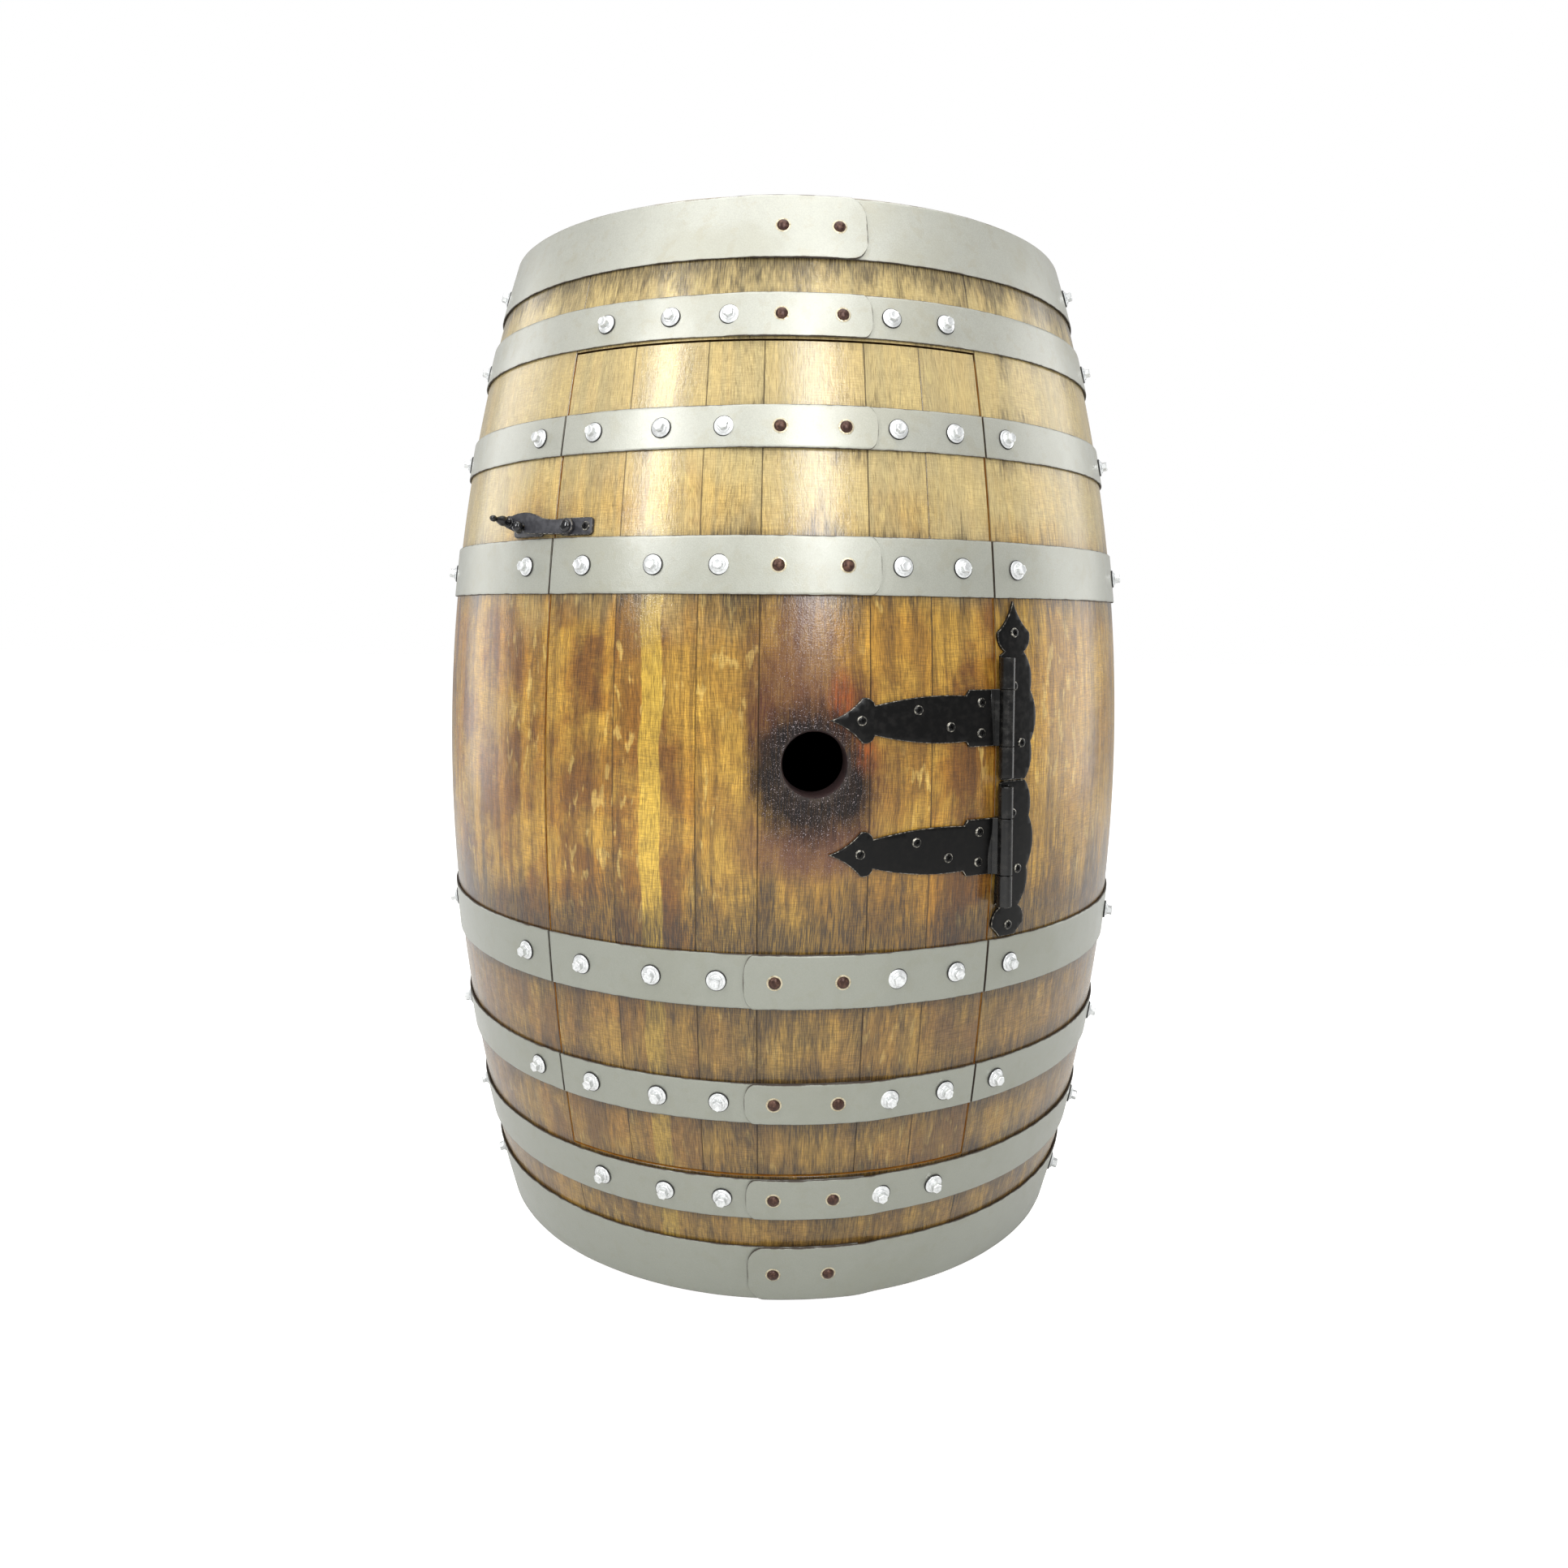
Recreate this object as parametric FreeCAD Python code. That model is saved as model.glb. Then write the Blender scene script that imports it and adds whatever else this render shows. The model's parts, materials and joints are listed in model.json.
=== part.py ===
import FreeCAD, Part
import math
import os
from FreeCAD import Vector

# Bar cabinet made from a wine barrel, in millimetres.
# Origin: centre of the ring of stave ends that the barrel stands on. +Z is up, and the door faces -Y.
# An azimuth is an angle about +Z in degrees: 0 is the middle of the door, 90 is +X, 180 is the back.
# Each stave is a bowed board with radial joints. It is flat across, and its bow is drawn in straight
# stretches, so hoops, heads and hinge leaves lie on flats. Radii are measured at the stave joints.

# ---------------------------------------------------------------- driving dimensions
BARREL_H = 950.0          # over the stave ends
BELLY_R = 357.0           # outside radius at half height, at the stave joints
END_R = 289.0             # outside radius at both ends, at the stave joints
BOW_FLATS = 10            # straight stretches that a full stave's bow is drawn in
STAVE_T = 26.0
KERF = 2.5                # saw cut round the door
JOINT_GAP = 0.05          # between pieces that lie on each other

DOOR_HALF = 32.5          # azimuth of both upright door cuts
DOOR_SILL = 124.0         # stave end to the lower cut
DOOR_HEADER = 130.0       # stave end to the upper cut
DOOR_JOINTS = (-20.9, -9.1, -0.8, 13.8, 22.5)
FIXED_WEIGHTS = (10.4, 12.6, 11.8, 13.4, 12.0, 12.9, 11.6, 13.2, 12.2, 11.4, 13.0, 12.5)
REAR_FROM = 135.0         # azimuths between which a full stave counts as a rear one
REAR_TO = 225.0

CROZE_Z = 46.0            # middle of the head groove, from the stave end
CROZE_W = 8.0
CROZE_DEPTH = 6.0
CHIME_BEVEL = 9.0
HEAD_T = 24.0
HEAD_BEVEL = 18.0         # from the rim to the full thickness
HEAD_SHOULDER = 2.5       # of the tongue outside the croze
HEAD_BOARDS = 6

HOOP_T = 2.0
HOOP_END_SETBACK = 2.0    # hoop ends stop short of the door cut
LAP_CENTRE = 6.15         # azimuth of the riveted lap
LAP_HALF_LENGTH = 57.0
# for each barrel end: hoop, distance from the stave ends, width, cut by the door
LOWER_HOOPS = (
    ("bottom_chime_hoop", 1.0, 54.0, False),
    ("lower_quarter_hoop", 83.0, 38.0, False),
    ("lower_french_hoop", 173.0, 36.0, True),
    ("lower_bilge_hoop", 274.0, 46.0, True),
)
UPPER_HOOPS = (
    ("top_chime_hoop", 1.0, 57.0, False),
    ("upper_quarter_hoop", 89.0, 38.0, False),
    ("upper_french_hoop", 185.0, 36.0, True),
    ("upper_bilge_hoop", 292.0, 48.0, True),
)
FRONT_BOLTS = (0.5, 0.46, 0.34, None, 0.52, 0.49)    # place across each front stave; None is the lap's
CUT_END_BOLTS = (32.0, 27.0)                         # from the left and the right door cut
SIDE_BOLTS = (-136.0, -74.0, 74.0, 136.0)
LAP_RIVET_SPACING = 57.0
BOLT_AF = 8.0             # across the flats of the hexagon
BOLT_H = 8.0
RIVET_R = 5.2
RIVET_H = 3.0

BUNG_R = 26.0
BUNG_STAVE = 3            # counted from 0 at the latch side

SHELF_TOP = 630.0
SHELF_T = 18.0
SHELF_FRONT_Y = -246.0
SHELF_CLEARANCE = 1.0
CLEAT_H = 24.0
CLEAT_T = 20.0
CLEAT_W = 60.0
CLEAT_AZ = (-140.0, -92.0, 92.0, 140.0)
GLASS_PITCH = 109.0
STEM_SLOT = 32.0
RACK_RAIL_T = 16.0
RACK_SPACER_H = 15.0
RACK_DEPTH = 226.0
STRIP_W = 20.0            # bottle dividers and rack spacers
DIVIDER_H = 18.0
DIVIDER_DEPTH = 380.0

HINGE_SPACING = 108.0     # between the middles of the two hinges
HINGE_DROP = 19.0         # of the pair below half height
PIN_SHIFT = 4.7           # pin axis beyond the door cut, round the barrel
PIN_STANDOFF = 7.3        # pin axis outside the stave joints at the belly
PIN_R = 3.5
PIN_PLAY = 0.05
KNUCKLE_R = 6.3
STRAP_KNUCKLE = 48.0
END_KNUCKLE = 26.5
KNUCKLE_GAP = 0.3
HINGE_T = 2.8
STRAP_LENGTH = 155.0      # pin axis to strap tip
STRAP_ROOT = 33.0
PLATE_NECK = 55.0         # hinge middle to the neck of the finial
PLATE_TIP = 98.0          # hinge middle to the tip of the finial
PLATE_BULB = 16.0         # pin axis to the middle of the finial
PLATE_GAP = 0.6           # between the two plates
PLATE_HOOP_GAP = 1.5      # between a plate and the bilge hoop beside it
STRAP_SCREWS = ((129.0, 0.0), (81.0, 8.0), (51.5, -6.5), (21.5, 13.0), (21.5, -12.5))
PLATE_SCREWS = ((14.0, 26.0), (23.0, -22.5))
SCREW_R = 3.8
SCREW_H = 1.6

INNER_STRAP_DROP = (6.0, 2.0)   # lower and upper strap below the middle of the hoop outside
INNER_STRAP_H = 46.0
INNER_STRAP_T = 2.0
INNER_STRAP_INSET = 15.0  # from each door cut to the strap's end

LATCH_AZ = -29.6          # pivot of the latch bar
LATCH_RISE = 9.0          # above the upper bilge hoop
LATCH_PLATE_H = 15.0
LATCH_PLATE_T = 2.5
LATCH_PLATE_RIGHT = 26.0  # pivot to the plate's right end
LATCH_PLATE_LEFT = 9.0
LATCH_BAR_T = 3.0
LATCH_BAR_W = 14.0
LATCH_PIVOT_R = 3.0
PIVOT_HEAD_R = 5.0
LATCH_PLAY = 0.4          # above and below the bar
LATCH_REACH = 50.0        # pivot to the knob
LATCH_SWEEP = 70.0        # pivot to the finial
KNOB_R = 4.0
KNOB_NECK_R = 2.4
NOTCH_PLAY = 1.4          # round the knob's neck
FINIAL_LENGTH = 24.0
FINIAL_INSET = 7.0        # from the bar's tip
CATCH_LENGTH = 45.0

HEXAGON = 6               # sides of a bolt head
HEAD_SIDES = 6            # screws and rivets are drawn with as few sides
TURNED_SIDES = 10         # small turned pieces are drawn with ten sides
FULL_TURN = 360
UP = Vector(0, 0, 1)
FAR = 600.0               # beyond every piece, for cutting tools

# ---------------------------------------------------------------- worked out
BOW_RISE = BELLY_R - END_R
BOW_R = ((BARREL_H / 2) ** 2 + BOW_RISE ** 2) / (2 * BOW_RISE)
BOW_STEP = BARREL_H / BOW_FLATS
KERF_HALF_DEG = math.degrees(KERF / 2 / BELLY_R)
HINGE_AZ = DOOR_HALF + math.degrees(PIN_SHIFT / BELLY_R)
PIN_RADIUS = BELLY_R + PIN_STANDOFF
LAP_HALF_DEG = math.degrees(LAP_HALF_LENGTH / BELLY_R)
LAP_RIVET_DEG = math.degrees(LAP_RIVET_SPACING / 2 / BELLY_R)
SHELF_BOTTOM = SHELF_TOP - SHELF_T
DOOR_TOP = BARREL_H - DOOR_HEADER
BUNG_Z = BARREL_H / 2
HINGE_MIDDLE = BARREL_H / 2 - HINGE_DROP
HINGE_Z = (HINGE_MIDDLE - HINGE_SPACING / 2, HINGE_MIDDLE + HINGE_SPACING / 2)
HOOPS = [(name, near, near + width, cut) for name, near, width, cut in LOWER_HOOPS]
HOOPS += [(name, BARREL_H - near - width, BARREL_H - near, cut) for name, near, width, cut in UPPER_HOOPS]
HOOP_EDGES = {name: (low, high) for name, low, high, cut in HOOPS}
LATCH_Z = HOOP_EDGES["upper_bilge_hoop"][1] + LATCH_RISE
RACK_RAIL_W = GLASS_PITCH - STEM_SLOT


def outward(az):
    return Vector(math.sin(math.radians(az)), -math.cos(math.radians(az)), 0)


def across(az):
    """Level direction round the barrel, towards larger azimuths."""
    return Vector(math.cos(math.radians(az)), math.sin(math.radians(az)), 0)


def true_bow(z, offset=0.0):
    """Radius of the bent wood at a height, moved out by an offset square to the bow."""
    return BELLY_R - BOW_R + math.sqrt((BOW_R + offset) ** 2 - (z - BARREL_H / 2) ** 2)


def bow(z, offset=0.0):
    """The same radius on the straight stretches that the bow is drawn in."""
    number = min(max(math.floor(z / BOW_STEP), 0), BOW_FLATS - 1)
    low = true_bow(number * BOW_STEP, offset)
    high = true_bow((number + 1) * BOW_STEP, offset)
    return low + (high - low) * (z / BOW_STEP - number)


def true_slope(z):
    return -(z - BARREL_H / 2) / math.sqrt(BOW_R ** 2 - (z - BARREL_H / 2) ** 2)


def slope(z):
    """Change of radius with height on the straight stretch at a height."""
    low = math.floor(z / BOW_STEP) * BOW_STEP
    return (true_bow(low + BOW_STEP) - true_bow(low)) / BOW_STEP


class Stave:
    """A board between two azimuths, or anything that lies on its flat."""

    def __init__(self, start, end):
        self.start = start
        self.end = end
        self.mid = (start + end) / 2
        self.flatness = math.cos(math.radians((end - start) / 2))

    def point(self, radius, z, az=None):
        """A point of a flat that has this radius at the stave's joints, by default in its middle."""
        middle = radius * self.flatness
        aside = 0 if az is None else middle * math.tan(math.radians(az - self.mid))
        return outward(self.mid) * middle + across(self.mid) * aside + UP * z

    def square_out(self, rise):
        """Direction square to a face of this flat whose radius changes by rise with height."""
        tilt = math.atan(rise * self.flatness)
        return outward(self.mid) * math.cos(tilt) - UP * math.sin(tilt)

    def wedge(self, start, end):
        """Everything between two azimuths."""
        corners = [UP * -FAR, outward(start) * FAR * 2 + UP * -FAR, outward(end) * FAR * 2 + UP * -FAR]
        return prism(corners, UP * FAR * 4)

    def bar(self, section, start=None, end=None):
        """A section, given as radii and heights, drawn out across the flat and trimmed to two azimuths."""
        corners = [self.point(radius, z) - across(self.mid) * FAR / 4 for radius, z in section]
        start = self.start if start is None else start
        end = self.end if end is None else end
        return prism(corners, across(self.mid) * FAR / 2).common(self.wedge(start, end))


def bowed_section(inner, outer, low, high):
    """Section between two offsets from the wood's outside, following the bow."""
    breaks = [k * BOW_STEP for k in range(BOW_FLATS + 1) if low < k * BOW_STEP < high]
    heights = [low] + breaks + [high]
    return [(bow(z, outer), z) for z in heights] + [(bow(z, inner), z) for z in reversed(heights)]


def tangent_section(low, high, lift, thickness):
    """Section of a straight band that touches the bent wood at its own mid height."""
    middle = (low + high) / 2
    foot, head = [true_bow(middle) + lift + true_slope(middle) * (z - middle) for z in (low, high)]
    return [(foot, low), (head, high), (head + thickness, high), (foot + thickness, low)]


def prism(corners, direction):
    return Part.Face(Part.makePolygon(list(corners) + [corners[0]])).extrude(direction)


def make_staves():
    cuts = (-DOOR_HALF + KERF_HALF_DEG,) + DOOR_JOINTS + (DOOR_HALF - KERF_HALF_DEG,)
    door = [Stave(a, b) for a, b in zip(cuts, cuts[1:])]
    cap_cuts = (-DOOR_HALF - KERF_HALF_DEG,) + DOOR_JOINTS + (DOOR_HALF + KERF_HALF_DEG,)
    caps = [Stave(a, b) for a, b in zip(cap_cuts, cap_cuts[1:])]
    weights = FIXED_WEIGHTS + FIXED_WEIGHTS[::-1]
    span = FULL_TURN - 2 * (DOOR_HALF + KERF_HALF_DEG)
    fixed = []
    start = DOOR_HALF + KERF_HALF_DEG
    for weight in weights:
        end = start + weight / sum(weights) * span
        fixed.append(Stave(start, end))
        start = end
    return door, caps, fixed


DOOR_STAVES, CAP_STAVES, FIXED_STAVES = make_staves()
RING = CAP_STAVES + FIXED_STAVES


def stave_at(az, staves):
    """The stave at an azimuth, and that azimuth counted in the stave's own turn."""
    for stave in staves:
        for turn in (az, az + FULL_TURN):
            if stave.start <= turn < stave.end:
                return stave, turn
    raise ValueError("no stave at azimuth %s" % az)


def fuse(solids):
    whole = solids[0] if len(solids) == 1 else solids[0].multiFuse(solids[1:])
    return whole.removeSplitter()


def save(name, *solids):
    shape = solids[0] if len(solids) == 1 else Part.Compound(list(solids))
    shape.exportStep("parts/%s.step" % name)


def round_bar(base, axis, radius, length):
    return Part.makeCylinder(radius, length, base, axis)


def turned(base, axis, profile, sides=TURNED_SIDES):
    """A small turned piece: many-sided rings of given radius and height, joined by straight faces."""
    side = axis.cross(UP).normalize()
    top = side.cross(axis).normalize()
    turns = [2 * math.pi * k / sides for k in range(sides + 1)]
    spokes = [top * math.cos(t) + side * math.sin(t) for t in turns[:-1]]
    spokes.append(spokes[0])
    rings = [[base + axis * height + spoke * radius for spoke in spokes] for radius, height in profile]
    outlines = [rings[0], rings[-1]]
    for low, high in zip(rings, rings[1:]):
        for k in range(sides):
            outlines.append([low[k], low[k + 1], high[k + 1], high[k], low[k]])
    solid = Part.Solid(Part.Shell([Part.Face(Part.makePolygon(outline)) for outline in outlines]))
    if solid.Volume < 0:
        solid.reverse()
    return solid


def small_head(base, axis, radius, height, sides=HEAD_SIDES):
    return turned(base, axis, [(radius, 0), (radius, height)], sides)


# ---------------------------------------------------------------- wood
def croze_section(groove_z):
    mouth = bow(groove_z, -STAVE_T) - FAR / 6
    floor = bow(groove_z, -STAVE_T) + CROZE_DEPTH
    low = groove_z - CROZE_W / 2
    high = groove_z + CROZE_W / 2
    return [(mouth, low), (floor, low), (floor, high), (mouth, high)]


def chime_section(end_z, inward):
    """Bevel on the inner edge of a stave end; inward is +1 at the bottom and -1 at the top."""
    inner = bow(end_z, -STAVE_T)
    reach = CHIME_BEVEL * 1.5
    return [
        (inner - reach, end_z - inward),
        (inner + CHIME_BEVEL, end_z - inward),
        (inner + CHIME_BEVEL, end_z),
        (inner - reach, end_z + inward * (CHIME_BEVEL + reach)),
    ]


def make_stave(stave, low, high):
    board = stave.bar(bowed_section(-STAVE_T, 0, low, high))
    cuts = []
    if low == 0:
        cuts += [stave.bar(croze_section(CROZE_Z)), stave.bar(chime_section(0, 1))]
    if high == BARREL_H:
        cuts += [stave.bar(croze_section(BARREL_H - CROZE_Z)), stave.bar(chime_section(BARREL_H, -1))]
    return board.cut(cuts) if cuts else board


def build_wood():
    sides = {
        "right_staves": [stave for stave in FIXED_STAVES if stave.mid < REAR_FROM],
        "rear_staves": [stave for stave in FIXED_STAVES if REAR_FROM <= stave.mid < REAR_TO],
        "left_staves": [stave for stave in FIXED_STAVES if stave.mid >= REAR_TO],
    }
    for name, staves in sides.items():
        save(name, *[make_stave(stave, 0, BARREL_H) for stave in staves])
    save("header_staves", *[make_stave(s, DOOR_TOP + KERF / 2, BARREL_H) for s in CAP_STAVES])
    save("sill_staves", *[make_stave(s, 0, DOOR_SILL - KERF / 2) for s in CAP_STAVES])
    for number, stave in enumerate(DOOR_STAVES):
        board = make_stave(stave, DOOR_SILL + KERF / 2, DOOR_TOP - KERF / 2)
        name = "door_stave_%d" % (number + 1)
        if number == BUNG_STAVE:
            name = "bung_stave"
            base = stave.point(bow(BUNG_Z, -2 * STAVE_T), BUNG_Z)
            board = board.cut(round_bar(base, outward(stave.mid), BUNG_R, 3 * STAVE_T))
        save(name, board)


def make_head(middle_z):
    """A disc of boards, bevelled to a tongue that sits in the croze."""
    low = middle_z - HEAD_T / 2
    high = middle_z + HEAD_T / 2
    tongue = CROZE_W / 2 - JOINT_GAP
    rim = bow(middle_z, -STAVE_T) + CROZE_DEPTH - JOINT_GAP
    shoulder = bow(middle_z, -STAVE_T) - HEAD_SHOULDER
    flat = rim - HEAD_BEVEL
    section = [(0, low), (flat, low), (shoulder, middle_z - tongue), (rim, middle_z - tongue)]
    section += [(rim, middle_z + tongue), (shoulder, middle_z + tongue), (flat, high), (0, high)]
    disc = fuse([stave.bar(section) for stave in RING])
    board_w = 2 * END_R / HEAD_BOARDS
    boards = []
    for k in range(HEAD_BOARDS):
        corner = Vector(-END_R, -END_R + k * board_w, middle_z - FAR / 2)
        boards.append(disc.common(Part.makeBox(2 * END_R, board_w, FAR, corner)))
    return boards


# ---------------------------------------------------------------- hoops
def hoop_span(staves, low, high, start, end, lift=JOINT_GAP):
    section = tangent_section(low, high, lift, HOOP_T)
    spans = [(stave, max(stave.start, start), min(stave.end, end)) for stave in staves]
    return [stave.bar(section, a, b) for stave, a, b in spans if b > a]


def lap_span(low, high):
    """The second layer of a hoop, where its two ends lie on each other."""
    start = LAP_CENTRE - LAP_HALF_DEG
    end = LAP_CENTRE + LAP_HALF_DEG
    return hoop_span(RING, low, high, start, end, JOINT_GAP + HOOP_T)


def hoop_head(az, staves, low, high, layers, radius, height, sides=HEAD_SIDES):
    """A fastener's head, square on the middle of a hoop."""
    stave, turn = stave_at(az, staves)
    middle = (low + high) / 2
    seat = stave.point(true_bow(middle) + JOINT_GAP + HOOP_T * layers, middle, turn)
    return small_head(seat, stave.square_out(true_slope(middle)), radius, height, sides)


def build_hoops():
    setback = math.degrees(HOOP_END_SETBACK / BELLY_R) + KERF_HALF_DEG
    bolts = []
    door_bolts = []
    rivets = []
    door_rivets = []
    hexagon = (BOLT_AF / 2 / math.cos(math.pi / HEXAGON), BOLT_H, HEXAGON)
    beside_cuts = (-DOOR_HALF - math.degrees(CUT_END_BOLTS[0] / BELLY_R),
                   DOOR_HALF + math.degrees(CUT_END_BOLTS[1] / BELLY_R))
    for name, low, high, cut in HOOPS:
        front = DOOR_STAVES if cut else CAP_STAVES
        lap = lap_span(low, high)
        if cut:
            door_piece = hoop_span(front, low, high, setback - DOOR_HALF, DOOR_HALF - setback)
            past_door = DOOR_HALF + setback
            save("door_" + name, fuse(door_piece + lap))
            save(name, fuse(hoop_span(FIXED_STAVES, low, high, past_door, FULL_TURN - past_door)))
        else:
            save(name, fuse(hoop_span(RING, low, high, -FULL_TURN, FULL_TURN) + lap))
        spots = SIDE_BOLTS + (beside_cuts if cut else ())
        bolts += [hoop_head(az, FIXED_STAVES, low, high, 1, *hexagon) for az in spots]
        if "chime" not in name:
            spots = [s.start + at * (s.end - s.start) for s, at in zip(front, FRONT_BOLTS) if at]
            heads = [hoop_head(az, front, low, high, 1, *hexagon) for az in spots]
            (door_bolts if cut else bolts).extend(heads)
        heads = [hoop_head(LAP_CENTRE + side, front, low, high, 2, RIVET_R, RIVET_H)
                 for side in (-LAP_RIVET_DEG, LAP_RIVET_DEG)]
        (door_rivets if cut else rivets).extend(heads)
    save("hoop_bolts", *bolts)
    save("door_bolts", *door_bolts)
    save("hoop_rivets", *rivets)
    save("door_rivets", *door_rivets)


# ---------------------------------------------------------------- shelf and glass rack
def build_interior():
    reach = bow(SHELF_TOP, -STAVE_T) - SHELF_CLEARANCE
    section = [(0, SHELF_BOTTOM), (reach, SHELF_BOTTOM), (reach, SHELF_TOP), (0, SHELF_TOP)]
    board = fuse([stave.bar(section) for stave in RING])
    front = Part.makeBox(2 * FAR, FAR, FAR, Vector(-FAR, SHELF_FRONT_Y - FAR, SHELF_BOTTOM - FAR / 2))
    save("shelf", board.cut(front))

    cleats = []
    for az in CLEAT_AZ:
        stave, turn = stave_at(az, RING)
        back = bow(SHELF_BOTTOM, -STAVE_T) - JOINT_GAP
        front = back - CLEAT_T
        low = SHELF_BOTTOM - CLEAT_H
        section = [(front, low), (back, low), (back, SHELF_BOTTOM), (front, SHELF_BOTTOM)]
        corners = [stave.point(radius, z) - across(stave.mid) * CLEAT_W / 2 for radius, z in section]
        cleats.append(prism(corners, across(stave.mid) * CLEAT_W))
    save("shelf_cleats", *cleats)

    lines = [GLASS_PITCH * k for k in (-1.5, -0.5, 0.5, 1.5)]
    rail_z = SHELF_BOTTOM - RACK_SPACER_H - RACK_RAIL_T
    strips = {"bottle_dividers": [], "rack_spacers": [], "rack_rails": []}
    for x in lines:
        corner = Vector(x - STRIP_W / 2, SHELF_FRONT_Y, SHELF_TOP)
        strips["bottle_dividers"].append(Part.makeBox(STRIP_W, DIVIDER_DEPTH, DIVIDER_H, corner))
        corner = Vector(x - STRIP_W / 2, SHELF_FRONT_Y, rail_z + RACK_RAIL_T)
        strips["rack_spacers"].append(Part.makeBox(STRIP_W, RACK_DEPTH, RACK_SPACER_H, corner))
        corner = Vector(x - RACK_RAIL_W / 2, SHELF_FRONT_Y, rail_z)
        strips["rack_rails"].append(Part.makeBox(RACK_RAIL_W, RACK_DEPTH, RACK_RAIL_T, corner))
    for name, solids in strips.items():
        save(name, *solids)


# ---------------------------------------------------------------- door hinges
def outline_edges(runs):
    """Edges of an outline: a run of two points is a straight line, and one of three points is an arc."""
    return [(Part.LineSegment if len(run) == 2 else Part.Arc)(*run).toShape() for run in runs]


def mirrored_outline(place, runs):
    """A closed outline from its upper half, given as distances from the pin and heights off the middle."""
    edges = []
    for sign in (1, -1):
        edges += outline_edges([[place(s, sign * h) for s, h in run] for run in runs])
    return Part.Wire(Part.__sortEdges__(edges))


def pin_point(z):
    return outward(HINGE_AZ) * PIN_RADIUS + UP * z


def knuckle(low, high):
    return round_bar(pin_point(low), UP, KNUCKLE_R, high - low)


def pin_bore(hinge_z):
    """Bore through all three knuckles of a hinge."""
    base = pin_point(hinge_z - STRAP_KNUCKLE / 2 - END_KNUCKLE - 1)
    return round_bar(base, UP, PIN_R + PIN_PLAY, STRAP_KNUCKLE + 2 * END_KNUCKLE + 2)


def leaf_web(stave, low, high, side):
    """Metal between a leaf and its knuckle, on one side of the pin, bedded on the wood."""
    away = across(stave.mid) * side * KNUCKLE_R
    down = outward(stave.mid) * -(KNUCKLE_R + 2 * HINGE_T)
    top = pin_point(low)
    web = prism([top, top + away, top + away + down, top + down], UP * (high - low))
    bed = bowed_section(-STAVE_T, JOINT_GAP, low - 1, high + 1)
    return web.cut(stave.bar(bed, stave.mid - DOOR_HALF, stave.mid + DOOR_HALF))


def make_strap(hinge_z):
    """Tapered strap on the door: square root at the knuckle, waist, and a spade-shaped end."""
    centre_az = HINGE_AZ - math.degrees(STRAP_LENGTH / 2 / BELLY_R)
    origin = outward(centre_az) * (BELLY_R - 6 * HINGE_T) + UP * hinge_z

    def place(distance, height):
        turn = (STRAP_LENGTH / 2 - distance) / BELLY_R
        return origin + across(centre_az) * (BELLY_R * math.sin(turn)) + UP * height

    half_h = STRAP_KNUCKLE / 2 - KNUCKLE_GAP
    neck_at = STRAP_LENGTH - 37.0
    step_at = STRAP_ROOT + 3.5
    runs = [
        [(0, 0), (0, half_h)],
        [(0, half_h), (STRAP_ROOT, half_h)],
        [(STRAP_ROOT, half_h), (step_at, 19.0)],
        [(step_at, 19.0), (step_at + 40.0, 18.8), (neck_at, 12.0)],
        [(neck_at, 12.0), (neck_at + 4.0, 17.3), (neck_at + 10.5, 18.0)],
        [(neck_at + 10.5, 18.0), (neck_at + 20.0, 8.8), (STRAP_LENGTH, 0)],
    ]
    outline = Part.Face(mirrored_outline(place, runs)).extrude(outward(centre_az) * 14 * HINGE_T)
    low = hinge_z - half_h
    high = hinge_z + half_h
    section = bowed_section(JOINT_GAP, JOINT_GAP + HINGE_T, low - 1, high + 1)
    root = DOOR_STAVES[-1]
    skins = [stave.bar(section) for stave in DOOR_STAVES[2:-1]] + [root.bar(section, root.start, HINGE_AZ)]
    leaf = fuse(skins).common(outline)
    return fuse([leaf, leaf_web(root, low, high, -1), knuckle(low, high)]).cut(pin_bore(hinge_z))


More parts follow.
